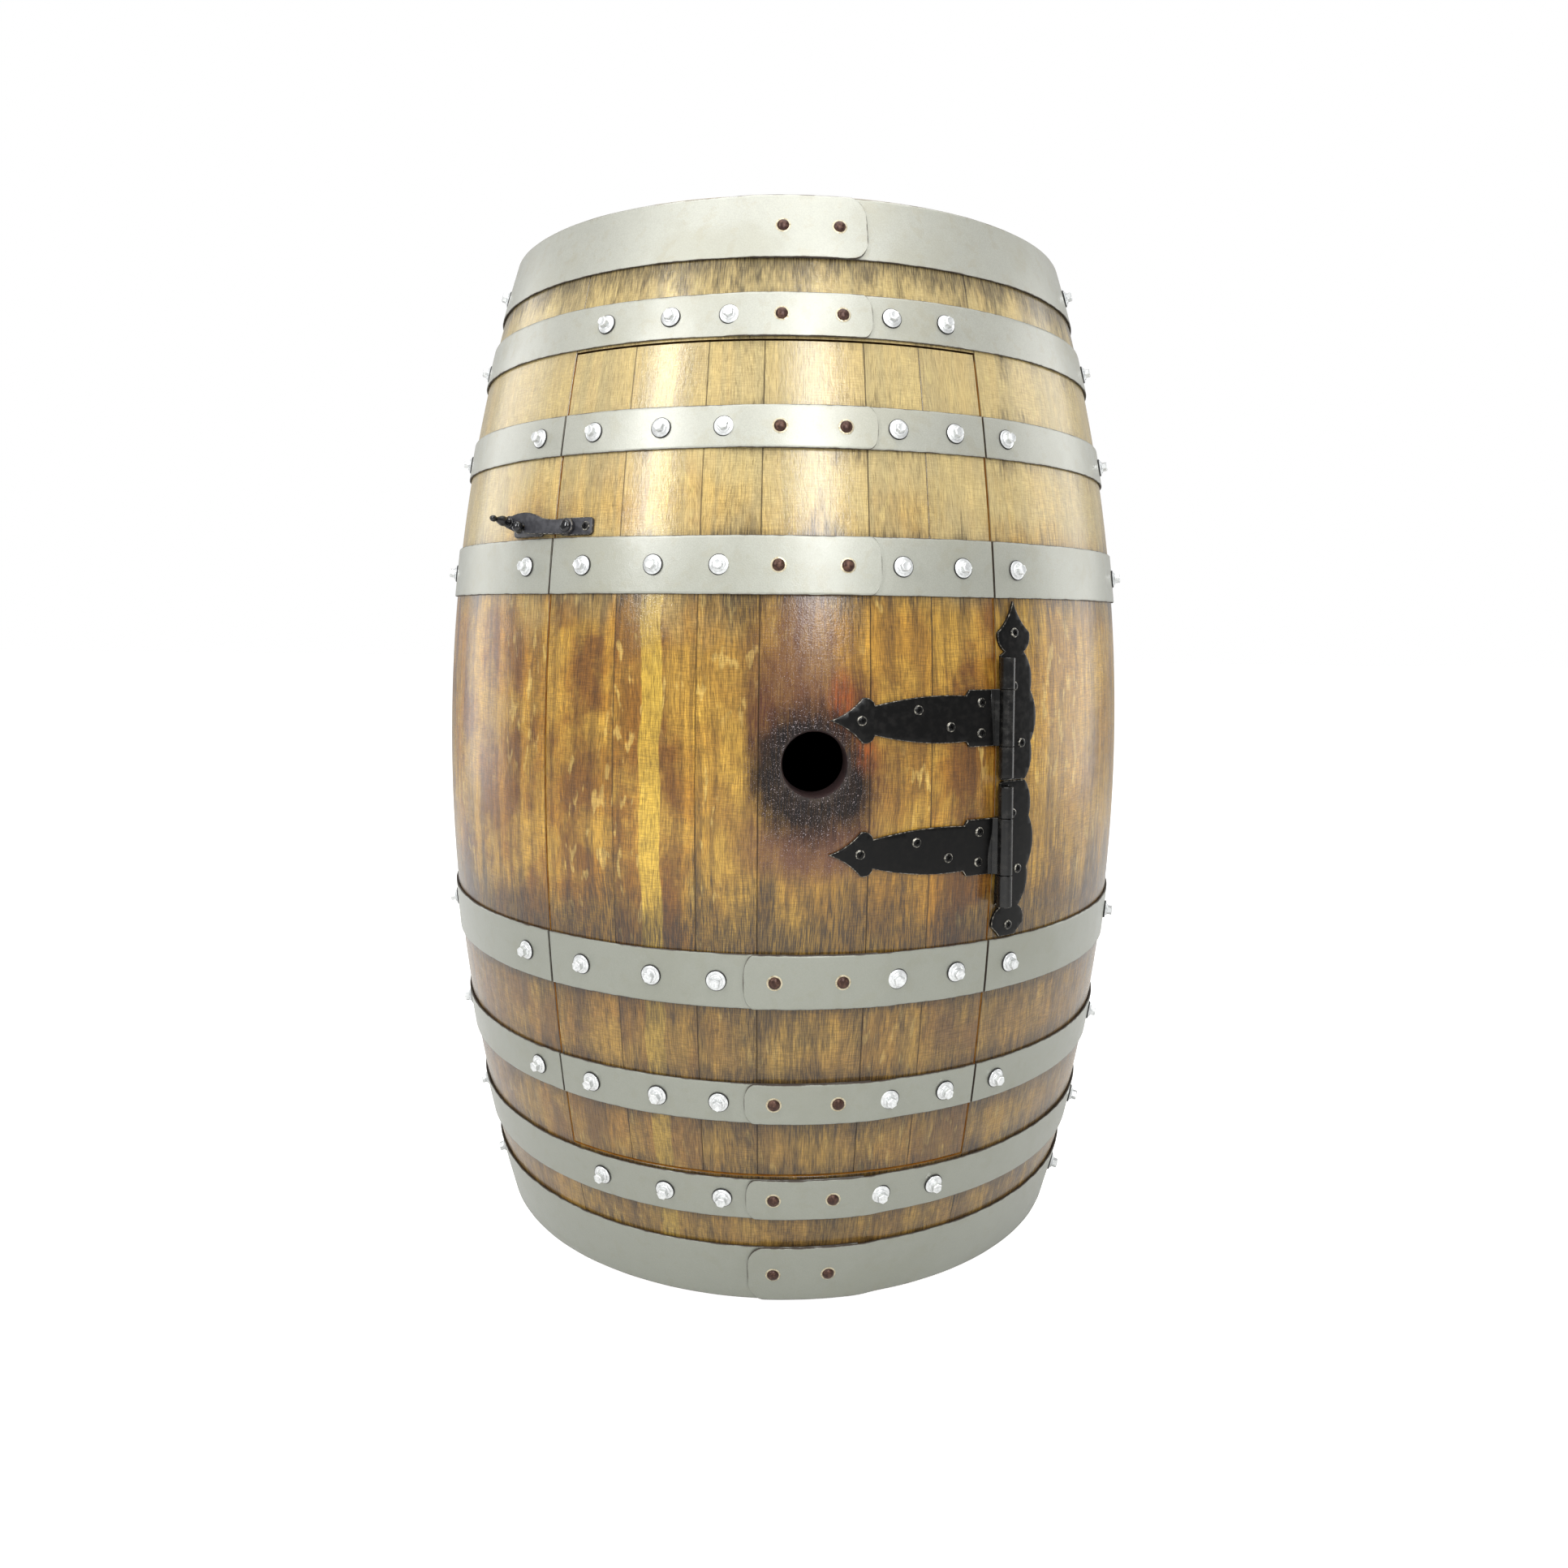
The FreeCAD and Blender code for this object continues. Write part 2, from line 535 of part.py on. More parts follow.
def make_plate(hinge_z, low, high):
    """Plate on the barrel with the two end knuckles, scalloped, and spade-shaped where it isn't trimmed."""
    stave = FIXED_STAVES[0]
    base = outward(stave.mid) * (BELLY_R - 6 * HINGE_T)
    origin = base + across(stave.mid) * (PIN_RADIUS * math.sin(math.radians(HINGE_AZ - stave.mid)))

    def place(distance, height):
        return origin + across(stave.mid) * distance + UP * (hinge_z + height)

    neck = PLATE_NECK
    bulb = PLATE_BULB
    runs = [
        [(0, 0), (0, neck - 3.0)],
        [(0, neck - 3.0), (bulb - 11.0, neck)],
        [(bulb - 11.0, neck), (bulb - 17.5, neck + 7.0), (bulb - 18.5, neck + 16.5)],
        [(bulb - 18.5, neck + 16.5), (bulb - 8.0, neck + 27.0), (bulb, PLATE_TIP)],
        [(bulb, PLATE_TIP), (bulb + 8.0, neck + 27.0), (bulb + 18.5, neck + 16.5)],
        [(bulb + 18.5, neck + 16.5), (bulb + 17.5, neck + 7.0), (bulb + 11.0, neck)],
        [(bulb + 11.0, neck), (bulb + 19.5, neck - 17.0), (bulb + 18.5, 22.0)],
        [(bulb + 18.5, 22.0), (bulb + 23.3, 11.5), (bulb + 25.0, 0)],
    ]
    outline = Part.Face(mirrored_outline(place, runs)).extrude(outward(stave.mid) * 12 * HINGE_T)
    leaf = stave.bar(bowed_section(JOINT_GAP, JOINT_GAP + HINGE_T, low, high)).common(outline)
    tall = STRAP_KNUCKLE / 2
    parts = [leaf]
    for start in (hinge_z - tall - END_KNUCKLE, hinge_z + tall):
        end = start + END_KNUCKLE
        parts += [leaf_web(stave, start, end, 1), knuckle(start, end)]
    clear = KNUCKLE_R + 1.0
    room = prism([place(s, h) for s, h in ((-clear, -tall), (clear, -tall), (clear, tall), (-clear, tall))],
                 outward(stave.mid) * 24 * HINGE_T)
    return fuse(parts).cut([room, pin_bore(hinge_z)])


def leaf_screw(distance, z, staves):
    """A screw head seated on a hinge leaf, at a distance from the pin round the barrel."""
    stave, turn = stave_at(HINGE_AZ + math.degrees(distance / BELLY_R), staves)
    axis = stave.square_out(slope(z))
    seat = stave.point(bow(z, JOINT_GAP + HINGE_T), z, turn)
    return small_head(seat + axis * JOINT_GAP, axis, SCREW_R, SCREW_H)


def build_hinges():
    reach = STRAP_KNUCKLE / 2 + END_KNUCKLE
    over_hoop = HOOP_EDGES["lower_bilge_hoop"][1] + PLATE_HOOP_GAP
    under_hoop = HOOP_EDGES["upper_bilge_hoop"][0] - PLATE_HOOP_GAP
    limits = {
        "lower": (HINGE_Z[0], over_hoop, HINGE_MIDDLE - PLATE_GAP / 2, -1),
        "upper": (HINGE_Z[1], HINGE_MIDDLE + PLATE_GAP / 2, under_hoop, 1),
    }
    strap_screws = []
    plate_screws = []
    pins = []
    for name, (z, low, high, finial) in limits.items():
        save(name + "_hinge_strap", make_strap(z))
        save(name + "_hinge_plate", make_plate(z, low, high))
        pins.append(round_bar(pin_point(z - reach), UP, PIN_R, 2 * reach))
        strap_screws += [leaf_screw(-away, z + height, DOOR_STAVES) for away, height in STRAP_SCREWS]
        spots = PLATE_SCREWS + ((PLATE_BULB, finial * (PLATE_NECK + 16.0)),)
        plate_screws += [leaf_screw(away, z + height, FIXED_STAVES) for away, height in spots]
    save("hinge_pins", *pins)
    save("hinge_strap_screws", *strap_screws)
    save("hinge_plate_screws", *plate_screws)


# ---------------------------------------------------------------- straps inside the door
def build_inner_straps():
    reach = DOOR_HALF - math.degrees(INNER_STRAP_INSET / BELLY_R)
    screws = []
    for end, drop in zip(("lower", "upper"), INNER_STRAP_DROP):
        z = sum(HOOP_EDGES[end + "_french_hoop"]) / 2 - drop
        low = z - INNER_STRAP_H / 2
        high = z + INNER_STRAP_H / 2
        foot = bow(low, -STAVE_T) - JOINT_GAP
        head = bow(high, -STAVE_T) - JOINT_GAP
        section = [(foot, low), (head, high), (head - INNER_STRAP_T, high), (foot - INNER_STRAP_T, low)]
        pieces = []
        for stave in DOOR_STAVES:
            left = max(stave.start, -reach)
            right = min(stave.end, reach)
            pieces.append(stave.bar(section, left, right))
            seat = stave.point((foot + head) / 2 - INNER_STRAP_T - JOINT_GAP, z)
            inward = stave.square_out((head - foot) / INNER_STRAP_H) * -1
            screws.append(small_head(seat, inward, SCREW_R, SCREW_H))
        save(end + "_inner_strap", fuse(pieces))
    save("inner_strap_screws", *screws)


# ---------------------------------------------------------------- latch
class Flat:
    """A working plane that touches a stave at the latch's height: right, up and out from one point."""

    def __init__(self, stave, seat):
        self.right = across(stave.mid)
        self.out = stave.square_out(true_slope(LATCH_Z))
        self.up = self.out.cross(self.right)
        self.seat = seat

    def place(self, right, high, out=0.0):
        return self.seat + self.right * right + self.up * high + self.out * out

    def plate(self, left, right, half_h, thickness):
        """A plate with two clipped corners, lying on the plane."""
        clip = half_h * 0.4
        lower = [(left, -half_h), (right - clip, -half_h), (right, clip - half_h)]
        upper = [(x, -h) for x, h in reversed(lower)]
        return prism([self.place(x, h) for x, h in lower + upper], self.out * thickness)


def flat_at(az, staves):
    stave, turn = stave_at(az, staves)
    return Flat(stave, stave.point(true_bow(LATCH_Z) + JOINT_GAP, LATCH_Z, turn))


def make_latch_bar(latch, foot):
    """Bar with a round end on its pivot, a raised back, and a notch open downwards over the knob."""
    half_w = LATCH_BAR_W / 2
    tip = -LATCH_SWEEP
    notch_r = KNOB_NECK_R + NOTCH_PLAY
    left = -LATCH_REACH - notch_r
    right = -LATCH_REACH + notch_r

    def at(right_of_pivot, high):
        return latch.place(right_of_pivot, high, foot)

    lip = -notch_r - 1.0
    runs = [
        [at(0, half_w), at(-14.0, half_w - 0.8), at(-28.0, half_w + 1.0)],
        [at(-28.0, half_w + 1.0), at(tip + 28.0, half_w + 5.8), at(tip + 8.0, half_w + 3.5)],
        [at(tip + 8.0, half_w + 3.5), at(tip, half_w - 2.0), at(tip + 5.0, half_w - 7.5)],
        [at(tip + 5.0, half_w - 7.5), at(left, lip)],
        [at(left, lip), at(left, 0)],
        [at(left, 0), at(-LATCH_REACH, notch_r), at(right, 0)],
        [at(right, 0), at(right, lip)],
        [at(right, lip), at(right + 8.0, -half_w + 1.0)],
        [at(right + 8.0, -half_w + 1.0), at(0, -half_w)],
        [at(0, -half_w), at(half_w, 0), at(0, half_w)],
    ]
    blank = Part.Face(Part.Wire(Part.__sortEdges__(outline_edges(runs)))).extrude(latch.out * LATCH_BAR_T)
    return blank.cut(round_bar(latch.place(0, 0), latch.out, LATCH_PIVOT_R + PIN_PLAY, LATCH_SWEEP))


def build_latch():
    latch = flat_at(LATCH_AZ, DOOR_STAVES)
    half_h = LATCH_PLATE_H / 2
    save("latch_plate", latch.plate(-LATCH_PLATE_LEFT, LATCH_PLATE_RIGHT, half_h, LATCH_PLATE_T))
    screw_at = latch.place(LATCH_PLATE_RIGHT - 7.0, 0, LATCH_PLATE_T + JOINT_GAP)
    save("latch_plate_screw", small_head(screw_at, latch.out, SCREW_R, SCREW_H))

    bar_foot = LATCH_PLATE_T + LATCH_PLAY
    bar_top = bar_foot + LATCH_BAR_T
    save("latch_bar", make_latch_bar(latch, bar_foot))
    stud_length = LATCH_BAR_T + 2 * LATCH_PLAY
    stud = round_bar(latch.place(0, 0, LATCH_PLATE_T), latch.out, LATCH_PIVOT_R, stud_length)
    dome = [(PIVOT_HEAD_R, 0), (PIVOT_HEAD_R * 0.8, 1.6), (PIVOT_HEAD_R * 0.4, 2.6)]
    head = turned(latch.place(0, 0, bar_top + LATCH_PLAY), latch.out, dome)
    save("latch_pivot", fuse([stud, head]))

    length = FINIAL_LENGTH
    profile = [(4.6, 0), (4.6, 2.0), (3.2, 3.4), (5.2, 6.5), (4.8, 10.0), (2.6, length - 8.0),
               (1.9, length - 6.5), (2.9, length - 3.5), (1.2, length)]
    grip = latch.place(FINIAL_INSET - LATCH_SWEEP, LATCH_BAR_W / 2 - 2.5, bar_top + JOINT_GAP)
    save("latch_finial", turned(grip, latch.out, profile))

    # the catch lies on the barrel, and its knob leans to stand square to the bar
    knob = latch.place(-LATCH_REACH, 0, bar_top + LATCH_PLAY)
    catch = flat_at(HINGE_AZ * -1 - math.degrees(CATCH_LENGTH / 2 / BELLY_R), FIXED_STAVES)
    catch.seat = catch.place((knob - catch.seat).dot(catch.right), 0)
    left = -CATCH_LENGTH / 2
    right = CATCH_LENGTH / 2 - 4.0
    depth = (knob - catch.place(0, 0, LATCH_PLATE_T / 2)).dot(catch.out) / latch.out.dot(catch.out)
    neck = [(KNOB_NECK_R, -depth), (KNOB_NECK_R, 0)]
    ball = [(KNOB_R * 0.9, 2.2), (KNOB_R, 4.0), (KNOB_R * 0.8, 6.2), (KNOB_R * 0.35, 7.8)]
    plate = catch.plate(left, right, half_h, LATCH_PLATE_T)
    save("latch_catch", fuse([plate, turned(knob, latch.out, neck + ball)]))
    spots = [catch.place(x, 0, LATCH_PLATE_T + JOINT_GAP) for x in (left + 6.0, right - 7.0)]
    save("latch_catch_screws", *[small_head(spot, catch.out, SCREW_R, SCREW_H) for spot in spots])


def main():
    os.makedirs("parts", exist_ok=True)
    build_wood()
    save("bottom_head", *make_head(CROZE_Z))
    save("top_head", *make_head(BARREL_H - CROZE_Z))
    build_hoops()
    build_interior()
    build_hinges()
    build_inner_straps()
    build_latch()


main()
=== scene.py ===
import bmesh
import bpy
import json
import math
import numpy as np
from contextlib import contextmanager
from mathutils import Matrix, Vector


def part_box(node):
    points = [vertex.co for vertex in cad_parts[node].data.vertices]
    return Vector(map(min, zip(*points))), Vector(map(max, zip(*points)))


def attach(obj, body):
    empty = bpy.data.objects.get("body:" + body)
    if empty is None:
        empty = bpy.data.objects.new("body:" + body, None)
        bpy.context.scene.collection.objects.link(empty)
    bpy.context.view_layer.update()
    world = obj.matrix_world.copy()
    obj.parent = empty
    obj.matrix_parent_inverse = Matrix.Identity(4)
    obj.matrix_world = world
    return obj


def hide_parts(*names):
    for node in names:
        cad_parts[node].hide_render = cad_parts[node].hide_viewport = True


# Bar cabinet made from a wine barrel, in metres. The door faces -Y, and +Z is up.
# An azimuth is an angle about +Z in degrees: 0 is the middle of the door and 90 is +X.
# Whatever lies on the barrel is drawn flat first: x is the way round at the belly, y goes into the
# wood and z is the height. The geometry nodes of bend_round_barrel then lay the drawing on the staves.

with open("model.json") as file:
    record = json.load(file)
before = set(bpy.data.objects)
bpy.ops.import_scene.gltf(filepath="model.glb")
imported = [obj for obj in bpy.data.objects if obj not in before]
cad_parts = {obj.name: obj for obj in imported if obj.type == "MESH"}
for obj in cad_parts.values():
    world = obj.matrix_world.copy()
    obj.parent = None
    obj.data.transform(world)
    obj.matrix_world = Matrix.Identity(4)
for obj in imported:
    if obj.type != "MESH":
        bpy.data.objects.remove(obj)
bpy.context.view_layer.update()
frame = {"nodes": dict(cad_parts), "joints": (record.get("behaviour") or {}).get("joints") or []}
NODES = frame["nodes"]
JOINTS = {joint["name"]: joint for joint in frame["joints"]}

# ---------------------------------------------------------------- sizes
MM = 0.001
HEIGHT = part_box("rear_staves")[1].z
ROUNDED = 0.9945                  # radius of the rounded staves, as a share of that of the CAD joints
CAD_BELLY_R = 0.357
BELLY_R = CAD_BELLY_R * ROUNDED
BOW_RISE = BELLY_R - 0.289 * ROUNDED
BOW_R = ((HEIGHT / 2) ** 2 + BOW_RISE ** 2) / (2 * BOW_RISE)
STAVE_T = 26 * MM
STAVE_ROW = 12 * MM               # height of a stave's faces
STAVE_EASE = 0.35 * MM            # rounding of a stave's arrises
CROZE = (42 * MM, 50 * MM, 6 * MM)    # low edge, high edge and depth of the head's groove
CHIME_BEVEL = 9 * MM

HOOP_T = 2 * MM
HOOP_LIFT = 0.35 * MM             # bedding of a hoop on the wood
HOOP_STEP = 1.0                   # degrees between a hoop's cross-sections
RIM = 2.2 * MM                    # band of rust along a hoop's cut edges
CUT_SWELL = 0.7 * MM              # the door's boards have swollen by this much into the saw cut
HOOP_GAP = 0.3 * MM               # from a cut hoop's end to the edge of the wood
LAP_RAMP = 5.0                    # degrees over which the outer layer climbs
UPPER_LAP = (-3.1, 15.3)          # azimuth of the hidden end and of the end that shows
LOWER_LAP = (15.4, -2.6)

DOOR_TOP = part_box("bung_stave")[1].z
BUNG_R = 26 * MM
BUNG_AZ = 6.5
BUNG_Z = HEIGHT / 2

LEAF_T = 2.8 * MM
LEAF_BED = 0.25 * MM
KNUCKLE_R = 6.3 * MM
PIN_R = 3.5 * MM
STRAP_LENGTH = 155 * MM
BOLT_H = 8 * MM
SCREW_R = 4.1 * MM

UP = Vector((0, 0, 1))


def bow(z):
    """Radius of the barrel at a height."""
    return BELLY_R - BOW_R + np.sqrt(BOW_R ** 2 - (z - HEIGHT / 2) ** 2)


def outward(az):
    return Vector((math.sin(math.radians(az)), -math.cos(math.radians(az)), 0))


def across(az):
    return Vector((math.cos(math.radians(az)), math.sin(math.radians(az)), 0))


def way_round(az):
    """Distance round the belly to an azimuth."""
    return math.radians(az) * BELLY_R


# ---------------------------------------------------------------- what the frame says
def islands(mesh):
    """The vertices of each separate shell of a mesh, in the same order each run."""
    seen = set()
    found = []
    for first in mesh.verts:
        island = [] if first in seen else [first]
        for vert in island:
            seen.add(vert)
            others = [edge.other_vert(vert) for edge in vert.link_edges]
            island += [other for other in others if other not in seen]
            seen.update(others)
        if island:
            found.append(island)
    return found


def solids(node):
    """The points of each separate solid of a CAD node."""
    mesh = bmesh.new()
    mesh.from_mesh(NODES[node].data)
    bmesh.ops.remove_doubles(mesh, verts=mesh.verts, dist=1e-6)
    found = [np.array([vert.co for vert in island]) for island in islands(mesh)]
    mesh.free()
    return sorted(found, key=lambda points: tuple(points.mean(0).round(5)))


def azimuth(points):
    return np.degrees(np.arctan2(points[..., 0], -points[..., 1]))


def spans(node):
    """First and last azimuth of each solid of a node, and its lowest and highest point."""
    found = []
    for points in solids(node):
        middle = azimuth(points.mean(0))
        turn = (azimuth(points) - middle + 180) % 360 - 180
        found.append((middle + turn.min(), middle + turn.max(), points[:, 2].min(), points[:, 2].max()))
    return sorted(found)


def seats(node, head_height):
    """Azimuth and height at which each fastener of a node meets what it holds."""
    found = []
    for points in solids(node):
        middle = points.mean(0)
        lean = (middle[2] - HEIGHT / 2) / BOW_R
        found.append((float(azimuth(middle)), float(middle[2] - lean * head_height / 2)))
    return found


def heights(node):
    low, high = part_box(node)
    return low.z, high.z


# ---------------------------------------------------------------- node writing
FLOAT = "NodeSocketFloat"
VECTOR = "NodeSocketVector"
GEOMETRY = "NodeSocketGeometry"
MATERIAL = "NodeSocketMaterial"


class Wire:
    """What comes out of a node. Arithmetic and the methods here write the next nodes."""

    def __init__(self, graph, socket):
        self.graph = graph
        self.socket = socket

    def __add__(self, other):
        return self.graph.math("ADD", self, other)

    def __sub__(self, other):
        return self.graph.math("SUBTRACT", self, other)

    def __rsub__(self, other):
        return self.graph.math("SUBTRACT", other, self)

    def __mul__(self, other):
        return self.graph.math("MULTIPLY", self, other)

    def __truediv__(self, other):
        return self.graph.math("DIVIDE", self, other)

    def axes(self):
        made = self.graph.node("ShaderNodeSeparateXYZ", {0: self})
        return [Wire(self.graph, socket) for socket in made.outputs]

    def stretch(self, x, y, z):
        """The vector with each axis times its own number."""
        return self.graph.join(*[part * by for part, by in zip(self.axes(), (x, y, z))])

    def step(self, start, end, low=0.0, high=1.0):
        """The value carried smoothly from start and end to low and high."""
        inputs = {0: self, 1: start, 2: end, 3: low, 4: high}
        return self.graph.get("ShaderNodeMapRange", inputs, interpolation_type="SMOOTHSTEP")

    def between(self, low, high):
        """Low where the value is 0 and high where it is 1."""
        return self.graph.blend(self, low, high)

    def noise(self, scale, detail=2.0, roughness=0.5):
        inputs = {"Vector": self, "Scale": scale, "Detail": detail, "Roughness": roughness}
        return self.graph.get("ShaderNodeTexNoise", inputs)

    def bump(self, distance, strength):
        return self.graph.get("ShaderNodeBump", {"Height": self, "Distance": distance, "Strength": strength})


class Graph:
    """Writes nodes in few words. An input is a number, a colour or a Wire."""

    def __init__(self, tree):
        self.tree = tree

    def node(self, kind, inputs=(), **settings):
        made = self.tree.nodes.new(kind)
        for key, value in settings.items():
            setattr(made, key, value)
        for key, value in dict(inputs).items():
            self.feed(made.inputs[key], value)
        return made

    def get(self, kind, inputs=(), output=0, **settings):
        """One output of a new node."""
        return Wire(self, self.node(kind, inputs, **settings).outputs[output])

    def feed(self, socket, value):
        if isinstance(value, Wire):
            self.tree.links.new(value.socket, socket)
        else:
            socket.default_value = value

    def math(self, operation, a, b=0.0):
        return self.get("ShaderNodeMath", {0: a, 1: b}, operation=operation)

    def join(self, x, y, z=0.0):
        return self.get("ShaderNodeCombineXYZ", {0: x, 1: y, 2: z})

    def mix(self, factor, a, b, blend="MIX"):
        return self.get("ShaderNodeMix", {0: factor, 6: a, 7: b}, 2, data_type="RGBA", blend_type=blend)

    def blend(self, factor, a, b):
        return self.get("ShaderNodeMix", {0: factor, 2: a, 3: b}, data_type="FLOAT")

    def attribute(self, name):
        return self.get("ShaderNodeAttribute", output="Fac", attribute_name=name)

    def place(self):
        """Object coordinates."""
        return self.get("ShaderNodeTexCoord", output="Object")

    def uv(self):
        return self.get("ShaderNodeUVMap", uv_map="UVMap")

    def use(self, group, **inputs):
        """The outputs of a node group by name."""
        made = self.node("ShaderNodeGroup", inputs, node_tree=group)
        return {socket.name: Wire(self, socket) for socket in made.outputs}


class Finish(Graph):
    """A material. Its colour is built up in layers."""

    def __init__(self, name, roughness=0.5, metallic=0.0, coat=0.0, coat_roughness=0.1, specular=0.5):
        self.material = bpy.data.materials.new(name)
        self.material.use_nodes = True
        super().__init__(self.material.node_tree)
        self.shader = self.tree.nodes["Principled BSDF"].inputs
        self.set({"Roughness": roughness, "Metallic": metallic, "Coat Weight": coat,
                  "Coat Roughness": coat_roughness, "Specular IOR Level": specular})
        self.colour = None

    def set(self, values):
        for name, value in values.items():
            self.feed(self.shader[name], value)

    def lay(self, mask, colour):
        """Lays a colour over those so far, where and as far as the mask says."""
        self.colour = self.mix(mask, self.colour, colour)

    def finished(self, **values):
        """The material, once its colour and the given inputs are set. _ stands for a space in their names."""
        self.set({"Base Color": self.colour})
        self.set({name.replace("_", " "): value for name, value in values.items()})
        return self.material


def node_group(name, kind, inputs, result, write):
    """A node group with named sockets. write gets its graph and its inputs by name and returns its
    outputs by name, which are sockets of the kind result."""
    tree = bpy.data.node_groups.new(name, kind)
    for label, socket in inputs.items():
        tree.interface.new_socket(label, in_out="INPUT", socket_type=socket)
    graph = Graph(tree)
    outer = graph.node("NodeGroupInput").outputs
    made = write(graph, {label: Wire(graph, outer[label]) for label in inputs})
    for label in made:
        tree.interface.new_socket(label, in_out="OUTPUT", socket_type=result)
    graph.node("NodeGroupOutput", made)
    return tree


def srgb(red, green, blue):
    """A colour given as on a screen, from 0 to 255."""
    linear = [c / 3294.6 if c <= 10 else ((c / 255 + 0.055) / 1.055) ** 2.4 for c in (red, green, blue)]
    return (*linear, 1.0)


# ---------------------------------------------------------------- shared effects
def oak_figure(graph, given):
    """Figure of oak. The vector holds metres across the board, metres along it and the board's number."""
    side, along, board = given["Vector"].axes()
    seed = board * 57.0
    wander = graph.join(side * 9, along * 3, seed).noise(1.0)
    bent = side + (wander - 0.5) * 0.03

    def field(side_scale, along_scale, shift, detail, roughness=0.5):
        return graph.join(bent * side_scale, along * along_scale, seed + shift).noise(1.0, detail, roughness)

    threads = field(1300, 60, 7.0, 2.0, 0.6).step(0.40, 0.58)
    pores = field(1500, 90, 13.0, 2.0).step(0.58, 0.68)
    rays = field(13, 6, 19.0, 2.0).step(0.50, 0.58)
    sanded = field(24, 16, 37.0, 2.0).step(0.30, 0.60, 0.30, 1.0)
    hatch = field(90, 1250, 31.0, 2.0, 0.6).step(0.41, 0.58) * sanded
    return {"Bands": field(34, 1.2, 1.0, 3.0, 0.55).step(0.38, 0.62),
            "Patches": field(21, 15, 3.0, 4.0, 0.6).step(0.40, 0.62),
            "Streaks": field(130, 3.2, 5.0, 4.0, 0.65).step(0.42, 0.66),
            "Threads": threads,
            "Pores": pores,
            "Flecks": field(130, 42, 25.0, 2.0, 0.5).step(0.58, 0.66) * rays,
            "Hatch": hatch,
            "Height": threads * 0.5 + hatch * 0.5 - pores}


def wear_and_dirt(graph, given):
    """Large and small clouds of dirt, from object coordinates."""
    x, y, z = given["Vector"].axes()
    moved = graph.join(x + given["Seed"], y, z)
    return {"Clouds": moved.noise(9.0, 4.0, 0.6).step(0.35, 0.68),
            "Mottle": moved.noise(70.0, 4.0, 0.6).step(0.35, 0.68)}


def bung_stain(graph, given):
    """Stain of spilled wine round the bung hole: char, ash at the rim, embers of orange and violet haze."""
    axis = outward(BUNG_AZ)
    side = across(BUNG_AZ)
    place = given["Vector"]
    x, y, z = place.axes()
    aside = x * side.x + y * side.y
    front = graph.math("GREATER_THAN", x * axis.x + y * axis.y, 0.2)
    rise = z - BUNG_Z
    ragged = place.noise(34.0, 4.0, 0.65) - 0.5
    fibres = place.stretch(520, 520, 30).noise(1.0, 2.0) - 0.5
    wobble = ragged * 0.55 + fibres * 0.30

    def blot(right, up, width, height, inner, outer):
        """A soft-edged blot with its middle to the right of and above the hole."""
        flat = (aside - right) * (1 / width)
        tall = (rise - up) * (1 / height)
        reach = graph.math("SQRT", flat * flat + tall * tall)
        return (reach + wobble).step(inner, outer, 1.0, 0.0)

    spots = {
        "Char": [(-0.006, -0.008, 0.050, 0.060, 0.62, 1.15), (0.022, -0.022, 0.030, 0.034, 0.5, 1.2)],
        "Ash": [(0.001, -0.002, 0.030, 0.031, 0.90, 1.02)],
        "Red": [(0.004, -0.010, 0.068, 0.074, 0.45, 1.20), (-0.040, 0.026, 0.018, 0.050, 0.4, 1.3),
                (0.030, 0.040, 0.022, 0.044, 0.4, 1.3)],
        "Ember": [(0.041, 0.008, 0.013, 0.020, 0.2, 1.3), (0.022, 0.050, 0.012, 0.030, 0.2, 1.3)],
        "Haze": [(-0.010, 0.080, 0.044, 0.085, 0.35, 1.25), (-0.004, -0.070, 0.056, 0.026, 0.4, 1.3)],
    }
    stains = {}
    for name, blots in spots.items():
        stains[name] = blot(*blots[0])
        for more in blots[1:]:
            stains[name] = graph.math("MAXIMUM", stains[name], blot(*more))
    stains["Ember"] = stains["Ember"] * (fibres + ragged).step(-0.12, 0.10, 0.25, 1.0)
    return {name: stain * front for name, stain in stains.items()}


def shader_group(name, inputs, write):
    return node_group(name, "ShaderNodeTree", inputs, FLOAT, write)


OAK_FIGURE = shader_group("oak_figure", {"Vector": VECTOR}, oak_figure)
WEAR = shader_group("wear_and_dirt", {"Vector": VECTOR, "Seed": FLOAT}, wear_and_dirt)
BUNG_STAIN = shader_group("bung_stain", {"Vector": VECTOR}, bung_stain)

# ---------------------------------------------------------------- finishes
STRAW = srgb(204, 163, 66)
GOLD = srgb(173, 121, 34)
HONEY = srgb(110, 66, 18)
TOBACCO = srgb(74, 47, 18)
PALE_FLECK = srgb(214, 182, 100)
PORE_BROWN = srgb(54, 34, 18)
IRON_STAIN = srgb(38, 30, 25)
CUT_YELLOW = srgb(216, 168, 76)
CUT_AMBER = srgb(190, 128, 48)
WINE_RED = srgb(120, 36, 30)
SAPWOOD = (-15.4, 8.5 * MM)       # azimuth and half width of a pale streak of sapwood
SHEEN_PAINTED_FROM = 0.60              # height from which a painted sheen makes the wood paler, and below which it is darker
# height below which painted shade makes the wood darker
SHADE_PAINTED_UNDER = 0.34


def clean_oak(wood, figure):
    """Lays the colours of clean oak."""
    board = wood.attribute("board")
    wood.colour = wood.mix(figure["Bands"], HONEY, GOLD)
    wood.lay(board.step(0.2, 1.0, 0.0, 0.44), STRAW)
    wood.lay(board.step(0.0, 0.4, 0.36, 0.0), TOBACCO)
    wood.lay(figure["Patches"] * 0.58, STRAW)
    wood.lay(figure["Streaks"] * 0.52, TOBACCO)
    wood.lay(figure["Flecks"] * 0.52, PALE_FLECK)


